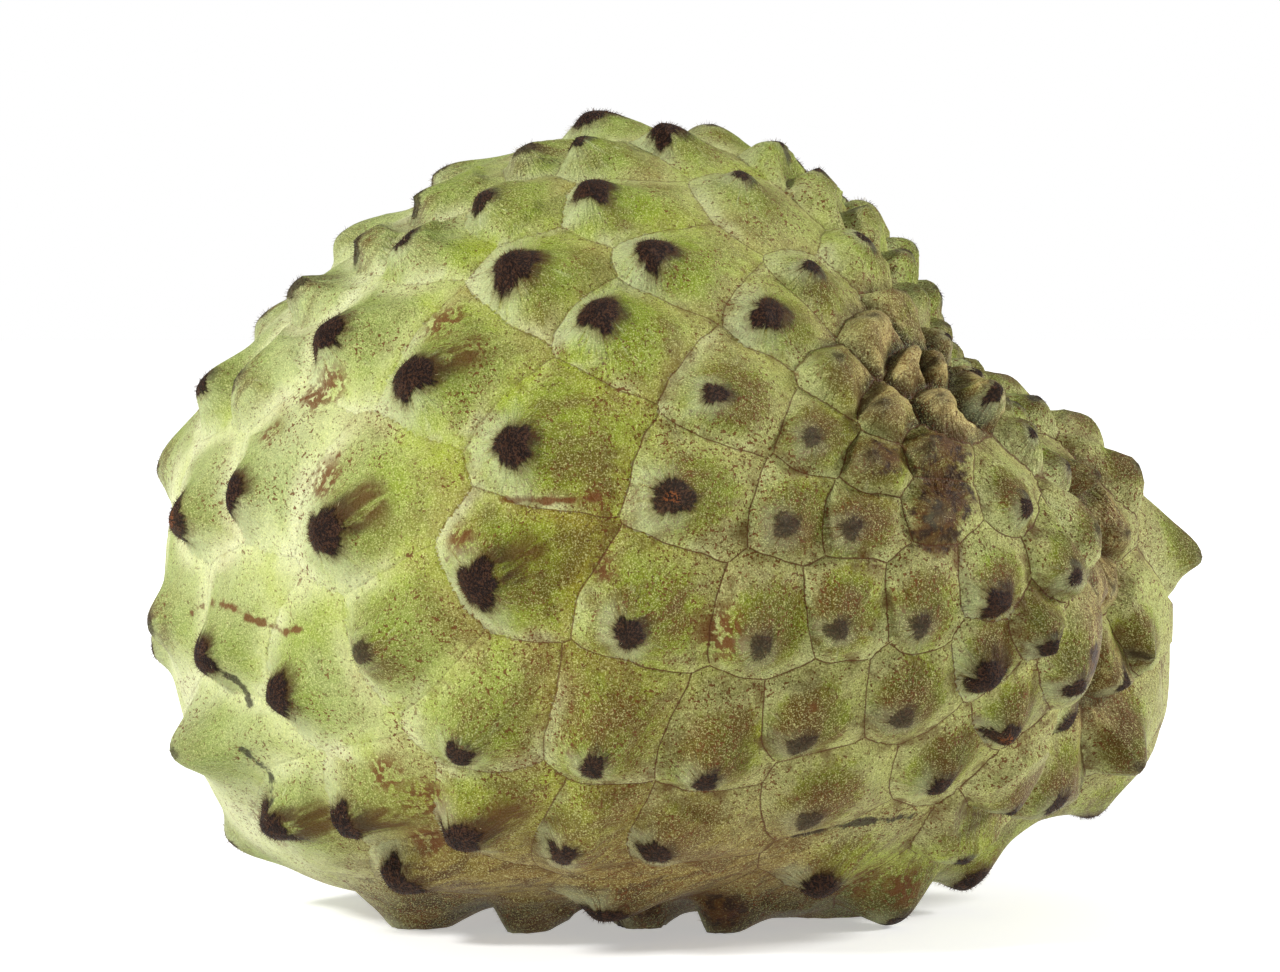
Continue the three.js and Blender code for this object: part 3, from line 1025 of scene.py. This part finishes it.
class SkinCoat:
    """The skin's material while it is made: colours laid one over another, then fine bumps."""

    colour: Value
    capped: Value

    def __init__(self, shades: SkinFinish, surface: SkinSurface) -> None:
        """Starts the material.

        Args:
            shades: Its colours.
            surface: The skin that wears it, which knows where its marks are.
        """
        self.s = Sheet(bpy.data.materials.new("custard_apple_skin"))
        self.here = SkinSense(self.s)
        self.shades = shades
        self.surface = surface

    def lay(self, share: Value, shade: "Value | Shade") -> None:
        """Lays a colour over the colour so far, by share."""
        self.colour = self.s.mix(share, self.colour, shade)

    def material(self) -> bpy.types.Material:
        """Lays every colour in order and adds the fine bumps.

        Returns:
            The material.
        """
        s, here = self.s, self.here
        for lay in (
            self._ground,
            self._carpels,
            self._underside,
            self._hollow,
            self._specks,
            self._stains,
            self._seams,
            self._caps,
            self._cracks,
        ):
            lay()
        height = here.fine * 0.2 + here.glint * 0.1 + here.grain * 0.3
        height = height + s.ramp(here.seam, 0, 0.3) * 0.1
        height = height + here.fibre * s.fall(here.away, 3, 12) * 0.6 + here.blotch * 0.8
        height = height + self.capped * (here.fine * 0.5 + here.glint * 0.3 + 0.15)
        bump = s.node("ShaderNodeBump", {}, Strength=1.0, Distance=MM, Height=height)
        s.finish(
            "ShaderNodeBsdfPrincipled",
            Base_Color=self.colour,
            Roughness=(0.4 + here.grain * 0.2 + self.capped * 0.1).at_most(1),
            Normal=Value(s, bump.outputs["Normal"]),
            Specular_IOR_Level=0.18,
        )
        return s.owner

    def _ground(self) -> None:
        """The ground colour: pale at the flower end on the left, olive and browner towards the stem
        side and lower down. The paleness at the left and the top is partly painted light; the olive
        at the lower right is partly painted shade.
        """
        s, here, shades = self.s, self.here, self.shades
        # Paler to the left: partly the skin's own tone, partly painted light on the lit left side.
        pale = s.ramp(here.x, -18, -56) * 0.8 + (here.broad - 0.5) * 1.6 + (here.blotch - 0.5) * 1.4
        # Paler still at the top left: painted light from above.
        pale = pale + s.ramp(here.z, 55, 92) * s.fall(here.x, -15, 25) * 0.5
        pale = (pale + here.tone * 0.12 + 0.06).at_least(0).at_most(1)
        self.colour = s.mix(pale, shades.green, shades.pale)
        # Olive towards the stem side and lower down: partly the skin's own tone, partly painted
        # shade.
        olive = here.stem_side_low_and_shade * 0.8 + (here.blotch - 0.5) * 2.8 + here.tone * 0.2
        self.lay(olive.at_least(0).at_most(0.95), shades.olive)

    def _underside(self) -> None:
        """Earth brown with purplish streaks low down in the middle, and fresh green beside it."""
        s, here, shades = self.s, self.here, self.shades
        low = here.z + here.blotch * 14 + here.grain * 5
        beside = s.ramp(here.x + here.blotch * 8, 16, 24)
        fresh = beside * s.fall(low, 17, 24)
        self.lay(fresh * 0.75, shades.green)
        inner = s.ramp(here.x, -48, -26)
        earthy = s.fall(low, 18, 33) * inner * (1 - beside)
        self.lay(earthy * 0.85, shades.earth)
        streaked = s.fall(low, 15, 30) * s.ramp(here.streak, 0.47, 0.56) * inner
        self.lay(streaked * (0.9 - fresh * 0.5), shades.red)
        # Red-brown to near black on the lowest few millimetres.
        bottom_dark = s.fall(here.z + here.grain * 6, 6.5, 12) * inner
        self.lay(bottom_dark * 0.8, s.mix(s.ramp(here.blotch, 0.4, 0.6), shades.red, shades.dark))

    def _carpels(self) -> None:
        """Carpels: leaf green about the tip, brown up the ridge, paler by the seams. The paleness
        below the tip and by the seams low down is partly painted light; the green about the tip and
        up the ridge, the brown lower down and the dark mounds are partly painted shade.
        """
        s, here, shades = self.s, self.here, self.shades
        # Paler by the seams low on the carpel and below the tip: partly the skin's own bloom,
        # partly painted light on the lit slopes.
        low_down = s.fall(here.along, 0.1, 0.4)
        edge = s.fall(here.seam, 0.3, 3) * s.ramp(here.blotch, 0.35, 0.6) * low_down
        self.lay(edge * 0.55, shades.pale)
        below = s.ramp(here.climb, 1, -3) * s.fall(here.away, 5, 11) * s.ramp(here.blotch, 0.3, 0.6)
        self.lay(below * (0.6 - here.stem_side_low_and_shade * 0.3), shades.pale)
        # Leaf green up the ridge and in a ring about the tip: partly the skin's own green, partly
        # painted shade on the slopes turned from the light.
        ridge = s.ramp(here.climb, 0, 4) * s.fall(here.away, 8, 15) * s.ramp(here.seam, 0.5, 3)
        self.lay(ridge * 0.5, shades.leaf)
        about = s.fall(here.away, 2, 9) * (0.1 + here.fibre * 1.1)
        self.lay(about.at_most(1) * 0.85, shades.leaf)
        rays = s.fall(here.away, 3, 8) * s.ramp(here.fibre, 0.56, 0.72)
        self.lay(rays * 0.45, shades.pale)
        up = s.ramp(here.climb, -1, 3) * s.ramp(here.seam, 0.3, 2)
        patch = s.ramp(here.blotch * 0.7 + here.streak * 0.6, 0.59, 0.75)
        patch = up * patch * (0.12 + here.stem_side_low_and_shade * 0.75)
        self.lay(patch.at_most(0.85), shades.brown)
        # Browner lower down: partly the skin's own brown, partly painted shade.
        low_brown_and_shade = s.ramp(here.blotch * 0.6 + here.grain * 0.4, 0.42, 0.6)
        self.lay(here.stem_side_low_and_shade * s.fall(here.z, 18, 48) * low_brown_and_shade * 0.5, shades.brown)
        cloud = s.noise(here.place, 10, 3, 0.6, w=11) + (here.grain - 0.5) * 0.3
        cloud = s.ramp(cloud, 0.5, 0.62) * here.stem_side_low_and_shade
        self.lay(cloud * 0.55, s.mix(here.broad, shades.olive_dark, shades.earth))
        rim = here.stem_side_low_and_shade * s.ramp(here.mound + here.grain, 1.35, 1.75) * s.ramp(here.x, -12, 12)
        self.lay(rim * 0.6, shades.rim)
        # Dark olive to brown in the middle of each carpel at the stem side: partly the skin's own
        # colour, partly painted shade on the mounds.
        mound = here.stem_side_low_and_shade * s.fall(here.mound + here.streak * 1.2, 1.1, 1.75)
        mound_brown_and_shade = s.mix(s.ramp(here.blotch, 0.42, 0.58), shades.olive_dark, shades.brown)
        self.lay(mound * s.ramp(here.x, -12, 14) * 0.84, mound_brown_and_shade)
        close = here.brown * s.fall(here.away / here.width, 0.08, 0.34)
        close = close * s.ramp(here.streak, 0.38, 0.6)
        self.lay(close.at_most(0.85), shades.brown)

    def _hollow(self) -> None:
        """Tan and brown in the stem hollow and along the fold beside it, with painted shade dark in
        the seams between the knobs and in the fold.
        """
        s, here, shades = self.s, self.here, self.shades
        crowd = tuple(self.surface.seen_at((self.surface.marks.crowd,))[0])
        away = s.vector("DISTANCE", here.place, crowd) + here.tone * 2.5 + here.blotch * 4
        near = s.fall(away, 9, 17)
        self.lay(near * s.ramp(here.blotch, 0.34, 0.52) * 0.9, shades.tan)
        self.lay(near * s.ramp(here.streak, 0.44, 0.58) * 0.8, shades.brown)
        # Dark in the seams between the crowded knobs: painted shade.
        self.lay(near * s.fall(here.seam, 0.1, 1.6), shades.dark)
        fold = here.from_fold + here.blotch * 6
        folded = s.fall(fold, 5.5, 10.5)
        self.lay(folded * s.ramp(here.blotch, 0.36, 0.55) * 0.85, shades.tan)
        self.lay(folded * s.ramp(here.streak, 0.4, 0.54) * 0.9, shades.brown)
        # Dark in the fold's seams, painted shade, and along dark streaks.
        fold_shade_and_streaks = s.fall(here.seam, 0.1, 2).at_least(s.ramp(here.streak, 0.45, 0.36))
        self.lay(folded * fold_shade_and_streaks * 0.85, shades.dark)

    def _specks(self) -> None:
        """Pale specks of painted glint highlight, dark pores and rusty flecks."""
        s, here, shades = self.s, self.here, self.shades
        # Pale specks: painted glints of light on the skin's fine grain.
        painted_glints = s.ramp(here.fine, 0.54, 0.68) * 0.17 + s.ramp(here.glint, 0.52, 0.68) * 0.42
        self.lay(painted_glints, shades.glint_highlight)
        shade = s.ramp(here.fine, 0.47, 0.36) * 0.22 + s.ramp(here.glint, 0.48, 0.32) * 0.42
        self.lay(shade * (0.5 + here.stem_side_low_and_shade * 0.5), shades.olive_dark)
        pores = s.ramp(s.noise(here.place, 0.38, 1, w=8), 0.65, 0.69)
        self.lay(pores * (0.6 + here.stem_side_low_and_shade * 0.3), shades.brown)
        coarse = s.ramp(here.grain, 0.5, 0.7) * (0.05 + here.stem_side_low_and_shade * 0.25)
        self.lay(coarse, shades.brown)
        flecks = s.ramp(s.noise(here.place, 0.42, 1, 0.7, w=5), 0.6, 0.63)
        cluster = s.noise(here.place, 5, 3, 0.7, w=10) * 0.7 + here.broad * 0.4
        cluster = cluster + here.stem_side_low_and_shade * 0.06
        self.lay(flecks * s.ramp(cluster, 0.52, 0.64) * 0.9, shades.rust)

    def _stains(self) -> None:
        """Rusty stains and scratches, and the red-brown bruises by the stem hollow, with tan specks
        of painted glint on the bruises.
        """
        s, here, shades = self.s, self.here, self.shades
        ragged = s.ramp(here.grain * 0.5 + s.noise(here.place, 0.7, 2, w=12) * 0.5, 0.45, 0.53)
        stain = s.ramp(s.noise(here.place, 4.5, 4, 0.7, w=6), 0.61, 0.7) * ragged
        stain = stain * (0.15 + here.stem_side_low_and_shade * 0.5)
        stain = stain.at_least(s.fall(here.from_stain + here.grain, 1, 2.2) * ragged)
        for path in self.surface.marks.scratches:
            away = s.near_path(here.place, self.surface.seen_at(path)) + (here.grain - 0.5) * 2.2
            stain = stain.at_least(s.fall(away, 0.1, 0.6))
        self.lay(stain * 0.9, shades.rust)
        rough = (here.grain - 0.5) * 1.4 + (here.fibre - 0.5) * 0.9
        bruise = s.fall(here.from_bruise + rough, 0.5, 1.05)
        flesh = s.mix(s.ramp(here.streak, 0.4, 0.6), shades.red, shades.brown)
        self.lay(bruise * 0.88, flesh)
        self.lay(bruise * s.ramp(here.grain, 0.55, 0.41) * 0.75, shades.dark)
        # Tan specks on the bruises: painted glints of light.
        self.lay(bruise * s.ramp(here.fine, 0.58, 0.7) * 0.3, shades.tan)

    def _seams(self) -> None:
        """Thin brown lines between the carpels, with smudges on them."""
        s, here, shades = self.s, self.here, self.shades
        shown = s.ramp(here.blotch + here.stem_side_low_and_shade * 0.3, 0.38, 0.6) * (0.25 + here.stem_side_low_and_shade * 0.75)
        line = s.fall(here.seam, 0.03, 0.13) * shown
        smudge = s.fall(here.seam, 0.1, 2.2) * s.ramp(s.noise(here.place, 3.5, 3, w=7), 0.47, 0.62)
        smudge = smudge * here.stem_side_low_and_shade * s.ramp(here.grain, 0.33, 0.52)
        self.lay(smudge * 0.75, shades.brown)
        self.lay(line * 0.9, shades.line)

    def _caps(self) -> None:
        """The dry caps on the tips, with ragged edges and a smear up the ridge."""
        s, here, shades = self.s, self.here, self.shades
        ragged = (here.fibre - 0.5) * 1.4 + (here.grain - 0.5) * 1.6
        trail = here.climb - here.climb.at_least(0).at_most(here.smear)
        beside = s.vector("LENGTH", s.join(here.aside, trail, 0)) + ragged
        smeared = s.fall(beside, here.radius * 0.4, here.radius * 1.25) * s.ramp(here.smear, 0, 1.5)
        smeared = smeared * here.dark * s.ramp(here.streak, 0.32, 0.5)
        trailing = s.mix(s.ramp(here.climb, 2, 6), shades.dark, shades.brown)
        self.lay(smeared * 0.9, trailing)
        edge = here.away + ragged
        ring = s.fall(edge, here.radius * 1.3, here.radius * 2.6) * here.dark
        ring = ring * s.ramp(here.fibre, 0.3, 0.5) * s.ramp(here.climb, 2.5, -1)
        self.lay(ring * 0.38, shades.mint)
        halo = s.fall(edge, here.radius * 0.9, here.radius * 1.45) * here.dark
        self.lay(halo * 0.55, shades.brown)
        self.capped = s.fall(edge, here.radius * 0.84, here.radius * 1.04) * here.dark
        dry = s.mix(s.ramp(here.fibre * 0.5 + here.fine * 0.7, 0.54, 0.74), shades.dark, shades.dry)
        self.lay(self.capped, dry)
        heart = s.fall(edge, here.radius * 0.2, here.radius * 0.5) * here.core
        self.lay(heart * s.ramp(here.fine, 0.46, 0.58), shades.core)

    def _cracks(self) -> None:
        """Dark dry cracks and streaks."""
        s, here, shades = self.s, self.here, self.shades
        for path in self.surface.marks.cracks:
            away = s.near_path(here.place, self.surface.seen_at(path)) + (here.grain - 0.5) * 3
            self.lay(s.fall(away, 0.1, 0.7) * 0.85, shades.dark)


class SkinSense:
    """What the skin's material knows of a place: where on its carpel it is, and its noise."""

    def __init__(self, s: Sheet) -> None:
        """Reads the mesh's attributes and makes the noise fields.

        Args:
            s: The material's nodes.
        """
        self.place = s.object_place()
        self.x, _, self.z = s.parts(self.place)
        self.aside, self.climb, self.width = s.parts(s.attribute("from_tip"))
        self.radius, self.dark, self.core = s.parts(s.attribute("cap"))
        self.brown, self.smear, self.tone = s.parts(s.attribute("tint"))
        self.from_stain, self.from_bruise, self.from_fold = s.parts(s.attribute("nearness"))
        signed = s.attribute("seam", "Fac")
        self.seam = signed.at_least(signed * -1)
        self.away = s.vector("LENGTH", s.join(self.aside, self.climb, 0)).at_least(0.05)
        self.along = self.climb / self.width
        up = self.along * 2.8 - 0.34
        self.mound = s.vector("LENGTH", s.join(self.aside / self.width * 3.6, up, 0))
        self.broad = s.noise(self.place, 24, 2)
        self.blotch = s.noise(self.place, 6, 4, 0.6, w=1)
        self.grain = s.noise(self.place, 1.5, 3, 0.6, w=2)
        self.fine = s.noise(self.place, 0.28, 2, 0.6, w=3)
        self.glint = s.noise(self.place, 0.17, 1, w=4)
        turn = s.join(self.aside / self.away * 6, self.climb / self.away * 6, self.away * 0.3)
        self.fibre = s.noise(turn, 1, 3, 0.7, w=self.tone * 40)
        drawn_out = s.join(self.aside, self.climb * 0.3, 0)
        self.streak = s.noise(drawn_out, 1.6, 4, 0.65, w=self.tone * 40 + 9)
        # Grows towards the stem side at the right and towards the bottom. The browner, darker skin
        # it brings there is partly the skin's own colour, partly painted shade.
        self.stem_side_low_and_shade = s.ramp(self.x, -42, 0) * (s.ramp(self.z, 92, 45) * 0.65 + 0.35)


@dataclass(frozen=True)
class FuzzFinish:
    """Short dry hair in one colour that varies a little from place to place."""

    name: str
    root: Shade
    end: Shade

    def make(self) -> bpy.types.Material:
        """Builds the material.

        Returns:
            The material.
        """
        s = Sheet(bpy.data.materials.new(self.name))
        shade = s.ramp(s.noise(s.object_place(), 0.6, 1), 0.35, 0.65)
        s.finish(
            "ShaderNodeBsdfPrincipled",
            Base_Color=s.mix(shade, self.root, self.end),
            Roughness=0.8,
            Specular_IOR_Level=0.1,
        )
        return s.owner


@dataclass
class Skin:
    """The fruit's skin as one piece."""

    surface: SkinSurface
    finish: SkinFinish

    def build(self) -> bpy.types.Object:
        """Makes the skin's mesh with its attributes, and dresses it.

        Returns:
            The skin.
        """
        surface = self.surface
        mesh = bpy.data.meshes.new("fruit_skin")
        mesh.from_pydata((surface.places * MM).tolist(), [], surface.faces.tolist())
        mesh.shade_smooth()
        for name, kind, key, values in (
            ("seam", "FLOAT", "value", surface.seam),
            ("from_tip", "FLOAT_VECTOR", "vector", surface.from_tip),
            ("cap", "FLOAT_VECTOR", "vector", surface.cap),
            ("tint", "FLOAT_VECTOR", "vector", surface.tint),
            ("nearness", "FLOAT_VECTOR", "vector", surface.nearness),
        ):
            attribute = mesh.attributes.new(name, kind, "CORNER")
            attribute.data.foreach_set(key, np.ascontiguousarray(values, np.float32).ravel())
        mesh.materials.append(self.finish.make(surface))
        skin = bpy.data.objects.new("fruit_skin", mesh)
        bpy.context.scene.collection.objects.link(skin)
        return skin


@dataclass
class Fuzz:
    """Hairs on and round the tips, in a ring between two shares of the cap's radius."""

    name: str
    finish: FuzzFinish
    surface: SkinSurface
    per_square_mm: float
    length: float
    thickness: float
    inner: float
    outer: float
    below_only: bool
    spread: float
    seed: int

    def bed(self) -> bpy.types.Object:
        """Makes the bed of the hairs: the skin's triangles that carry them.

        Returns:
            A mesh object with the attributes grows, from 0 to 1, and way.
        """
        surface = self.surface
        c = surface.carpels
        holder = surface.holder
        offset = surface.bare - c.feet[holder]
        aside = np.einsum("pk,pk->p", offset, c.across[holder])
        climb = np.einsum("pk,pk->p", offset, c.ridges[holder])
        edge = c.cap_edge(holder, aside, climb)
        share = np.hypot(aside, climb) / edge
        grows = (share > self.inner) & (share < self.outer) & (surface.places[:, 2] > 1.2)
        density = grows * c.cap_dark[holder]
        if self.below_only:
            density = density * smooth_step(0.7 - 0.5 * climb / edge)
        away = c.across[holder] * aside[:, None] + c.ridges[holder] * climb[:, None]
        way = unit(surface.normals) + self.spread * away / edge[:, None]
        keep = (density[surface.faces] > 0).any(1)
        used, index = np.unique(surface.faces[keep], return_inverse=True)
        mesh = bpy.data.meshes.new(self.name + "_bed")
        mesh.from_pydata((surface.places[used] * MM).tolist(), [], index.reshape(-1, 3).tolist())
        mesh.attributes.new("grows", "FLOAT", "POINT").data.foreach_set("value", density[used])
        way = np.ascontiguousarray(unit(way[used]), np.float32)
        mesh.attributes.new("way", "FLOAT_VECTOR", "POINT").data.foreach_set("vector", way.ravel())
        bed = bpy.data.objects.new(self.name + "_bed", mesh)
        bpy.context.scene.collection.objects.link(bed)
        return bed

    def tree(self, material: bpy.types.Material) -> bpy.types.NodeTree:
        """The Geometry Nodes tree that scatters the hairs over the bed.

        Args:
            material: What the hairs wear.

        Returns:
            The tree.
        """
        group = bpy.data.node_groups.new(self.name, "GeometryNodeTree")
        nodes = Nodes(group)
        face = group.interface
        face.new_socket("Bed", in_out="INPUT", socket_type="NodeSocketGeometry")
        for name in ("Hairs per square metre", "Length", "Thickness"):
            face.new_socket(name, in_out="INPUT", socket_type="NodeSocketFloat")
        face.new_socket("Seed", in_out="INPUT", socket_type="NodeSocketInt")
        face.new_socket("Hairs", in_out="OUTPUT", socket_type="NodeSocketGeometry")

        def add(kind: str, settings: dict, output: int | str, **sockets: object) -> Value:
            """Adds a node.

            Args:
                kind: The node's type.
                settings: Properties set on the node first.
                output: Which of its results is wanted.
                **sockets: Values or links by socket name, with _ for a space.

            Returns:
                The result.
            """
            return Value(nodes, nodes.node(kind, settings, **sockets).outputs[output])

        inputs = nodes.node("NodeGroupInput", {}).outputs
        bed, per_area, length, thickness, seed = (Value(nodes, inputs[index]) for index in range(5))
        named = "GeometryNodeInputNamedAttribute"
        grows = add(named, {"data_type": "FLOAT"}, 0, Name="grows")
        way = add(named, {"data_type": "FLOAT_VECTOR"}, 0, Name="way")
        points = add(
            "GeometryNodeDistributePointsOnFaces",
            {},
            "Points",
            Mesh=bed,
            Density=grows * per_area,
            Seed=seed,
        )
        hair = add(
            "GeometryNodeMeshCone",
            {"fill_type": "NGON"},
            "Mesh",
            Vertices=3,
            Side_Segments=1,
            Radius_Top=0.0,
            Radius_Bottom=thickness,
            Depth=length,
        )
        sunk = add("ShaderNodeCombineXYZ", {}, 0, Z=length * -0.1)
        rooted = add("GeometryNodeTransform", {}, 0, Geometry=hair, Translation=sunk)
        wobble = add(
            "FunctionNodeRandomValue",
            {"data_type": "FLOAT_VECTOR"},
            0,
            Min=(-0.45, -0.45, 0.0),
            Max=(0.45, 0.45, 6.28),
            Seed=seed,
        )
        turned = add(
            "FunctionNodeRotateRotation",
            {"rotation_space": "LOCAL"},
            0,
            Rotation=add("FunctionNodeAlignRotationToVector", {"axis": "Z"}, 0, Vector=way),
            Rotate_By=add("FunctionNodeEulerToRotation", {}, 0, Euler=wobble),
        )
        size = nodes.node("FunctionNodeRandomValue", {"data_type": "FLOAT"}, Seed=seed)
        least, most = 2, 3
        size.inputs[least].default_value = 0.5
        size.inputs[most].default_value = 1.1
        placed = add(
            "GeometryNodeInstanceOnPoints",
            {},
            0,
            Points=points,
            Instance=rooted,
            Rotation=turned,
            Scale=Value(nodes, size.outputs[1]),
        )
        real = add("GeometryNodeRealizeInstances", {}, 0, Geometry=placed)
        dressed = add("GeometryNodeSetMaterial", {}, 0, Geometry=real, Material=material)
        nodes.node("NodeGroupOutput", {}, Hairs=dressed)
        return group

    def build(self) -> bpy.types.Object:
        """Grows the hairs and turns them into a plain mesh.

        Returns:
            The hairs.
        """
        bed = self.bed()
        modifier = bed.modifiers.new("grow", "NODES")
        modifier.node_group = self.tree(self.finish.make())
        sockets = {
            item.name: item.identifier
            for item in modifier.node_group.interface.items_tree
            if item.in_out == "INPUT"
        }
        modifier[sockets["Hairs per square metre"]] = self.per_square_mm / MM**2
        modifier[sockets["Length"]] = self.length * MM
        modifier[sockets["Thickness"]] = self.thickness * MM
        modifier[sockets["Seed"]] = self.seed
        bpy.context.view_layer.update()
        evaluated = bed.evaluated_get(bpy.context.evaluated_depsgraph_get())
        mesh = bpy.data.meshes.new_from_object(evaluated)
        mesh.name = self.name
        bpy.data.objects.remove(bed)
        hairs = bpy.data.objects.new(self.name, mesh)
        bpy.context.scene.collection.objects.link(hairs)
        return hairs


@dataclass
class Studio:
    """A plain white floor, soft light from above and the left, and the camera."""

    eye: Eye
    floor_radius: float = 6.0
    floor_glow: float = 0.42
    tent_front: float = 0.08
    tent_back: float = 0.4
    tent_top: float = 0.28
    left_watts: float = 6.2
    right_watts: float = 5.2

    def floor(self) -> bpy.types.Object:
        """A pale round floor, lit a little from below as a light table is.

        Returns:
            The floor.
        """
        sides = 96
        just_below = -0.00005
        rim = [
            (
                self.floor_radius * math.cos(2 * math.pi * i / sides),
                self.floor_radius * math.sin(2 * math.pi * i / sides),
                just_below,
            )
            for i in range(sides)
        ]
        mesh = bpy.data.meshes.new("studio_floor")
        mesh.from_pydata(rim, [], [tuple(range(sides))])
        s = Sheet(bpy.data.materials.new("studio_floor"))
        away = s.vector("LENGTH", s.object_place())
        s.finish(
            "ShaderNodeBsdfPrincipled",
            Base_Color=(0.9, 0.9, 0.9, 1),
            Roughness=0.7,
            Specular_IOR_Level=0.1,
            Emission_Color=s.mix(s.ramp(away, 90, 400), (self.floor_glow,) * 4, (0.9, 0.9, 0.9, 1)),
            Emission_Strength=1.0,
        )
        mesh.materials.append(s.owner)
        floor = bpy.data.objects.new("studio_floor", mesh)
        bpy.context.scene.collection.objects.link(floor)
        return floor

    def tent(self) -> None:
        """White cloth all round, brighter above, behind and at both sides than in front."""
        s = Sheet(bpy.data.worlds.new("studio_tent"))
        direction = Value(s, s.node("ShaderNodeTexCoord", {}).outputs["Generated"])
        _, y, z = s.parts(direction)
        strength = self.tent_front + (self.tent_back - self.tent_front) * s.ramp(y, -0.9, 0.3)
        strength = strength + s.ramp(z, 0.2, 1) * self.tent_top
        light = s.node("ShaderNodeBackground", {}, Strength=strength)
        backdrop = s.node("ShaderNodeBackground", {}, Color=(1, 1, 1, 1), Strength=1.0)
        seen = s.node("ShaderNodeLightPath", {}).outputs["Is Camera Ray"]
        both = s.node("ShaderNodeMixShader", {}, Fac=Value(s, seen))
        s.tree.links.new(light.outputs[0], both.inputs[1])
        s.tree.links.new(backdrop.outputs[0], both.inputs[2])
        out = s.node("ShaderNodeOutputWorld", {})
        s.tree.links.new(both.outputs[0], out.inputs["Surface"])
        bpy.context.scene.world = s.owner

    def lamp(self, name: str, place: Point, watts: float, size: float) -> None:
        """Adds a round soft lamp that is aimed at the fruit.

        Args:
            name: Its name.
            place: Where it is, in metres.
            watts: How strong it is.
            size: Its width in metres.
        """
        data = bpy.data.lights.new(name, "AREA")
        data.shape = "DISK"
        data.size = size
        data.energy = watts
        lamp = bpy.data.objects.new(name, data)
        lamp.location = place
        aim = Vector((0, 0, 0.045)) - lamp.location
        lamp.rotation_euler = aim.to_track_quat("-Z", "Y").to_euler()
        bpy.context.scene.collection.objects.link(lamp)

    def light(self) -> None:
        """The tent with a lamp at the left and a weaker one at the right, behind."""
        self.tent()
        self.lamp("left_lamp", (-0.6, -0.36, 0.5), self.left_watts, 0.14)
        self.lamp("right_lamp", (0.72, 0.02, 0.4), self.right_watts, 0.18)
        bpy.context.scene.view_settings.view_transform = "Standard"

    def camera(self) -> bpy.types.Object:
        """The camera that frames the fruit as the photograph does.

        Returns:
            The camera.
        """
        data = bpy.data.cameras.new("photo_camera")
        data.lens = self.eye.lens
        data.sensor_width = self.eye.sensor
        data.sensor_fit = "HORIZONTAL"
        camera = bpy.data.objects.new("photo_camera", data)
        camera.location = Vector(self.eye.place) * MM
        aim = Vector(self.eye.target) * MM - camera.location
        camera.rotation_euler = aim.to_track_quat("-Z", "Y").to_euler()
        bpy.context.scene.collection.objects.link(camera)
        bpy.context.scene.camera = camera
        return camera


def main() -> None:
    """Builds the fruit's pieces and the studio round it."""
    logging.basicConfig(level=logging.INFO, format="%(name)s: %(message)s")
    eye = Eye()
    body = FruitBody()
    carpels = Carpels(body, eye)
    log.info("%d carpels", len(carpels.feet))
    surface = SkinSurface(body, carpels)
    surface.build()

    skin = Skin(surface, SkinFinish()).build()
    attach(skin, "root")
    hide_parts("fruit")
    log.info("%s: %d triangles", skin.name, len(skin.data.polygons))

    dark_fuzz = Fuzz(
        name="dark_fuzz",
        finish=FuzzFinish("dark_fuzz", linear(40, 22, 14), linear(104, 70, 46)),
        surface=surface,
        per_square_mm=8.0,
        length=0.6,
        thickness=0.034,
        inner=0.0,
        outer=1.08,
        below_only=False,
        spread=1.0,
        seed=3,
    )
    pale_fuzz = Fuzz(
        name="pale_fuzz",
        finish=FuzzFinish("pale_fuzz", linear(150, 136, 96), linear(205, 194, 150)),
        surface=surface,
        per_square_mm=3.6,
        length=0.8,
        thickness=0.026,
        inner=0.95,
        outer=1.9,
        below_only=True,
        spread=1.2,
        seed=5,
    )
    for fuzz in (dark_fuzz, pale_fuzz):
        hairs = fuzz.build()
        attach(hairs, "root")
        log.info("%s: %d triangles", hairs.name, len(hairs.data.polygons))

    studio = Studio(eye)
    studio.floor()
    studio.light()
    studio.camera()


if __name__ == "__main__":
    main()
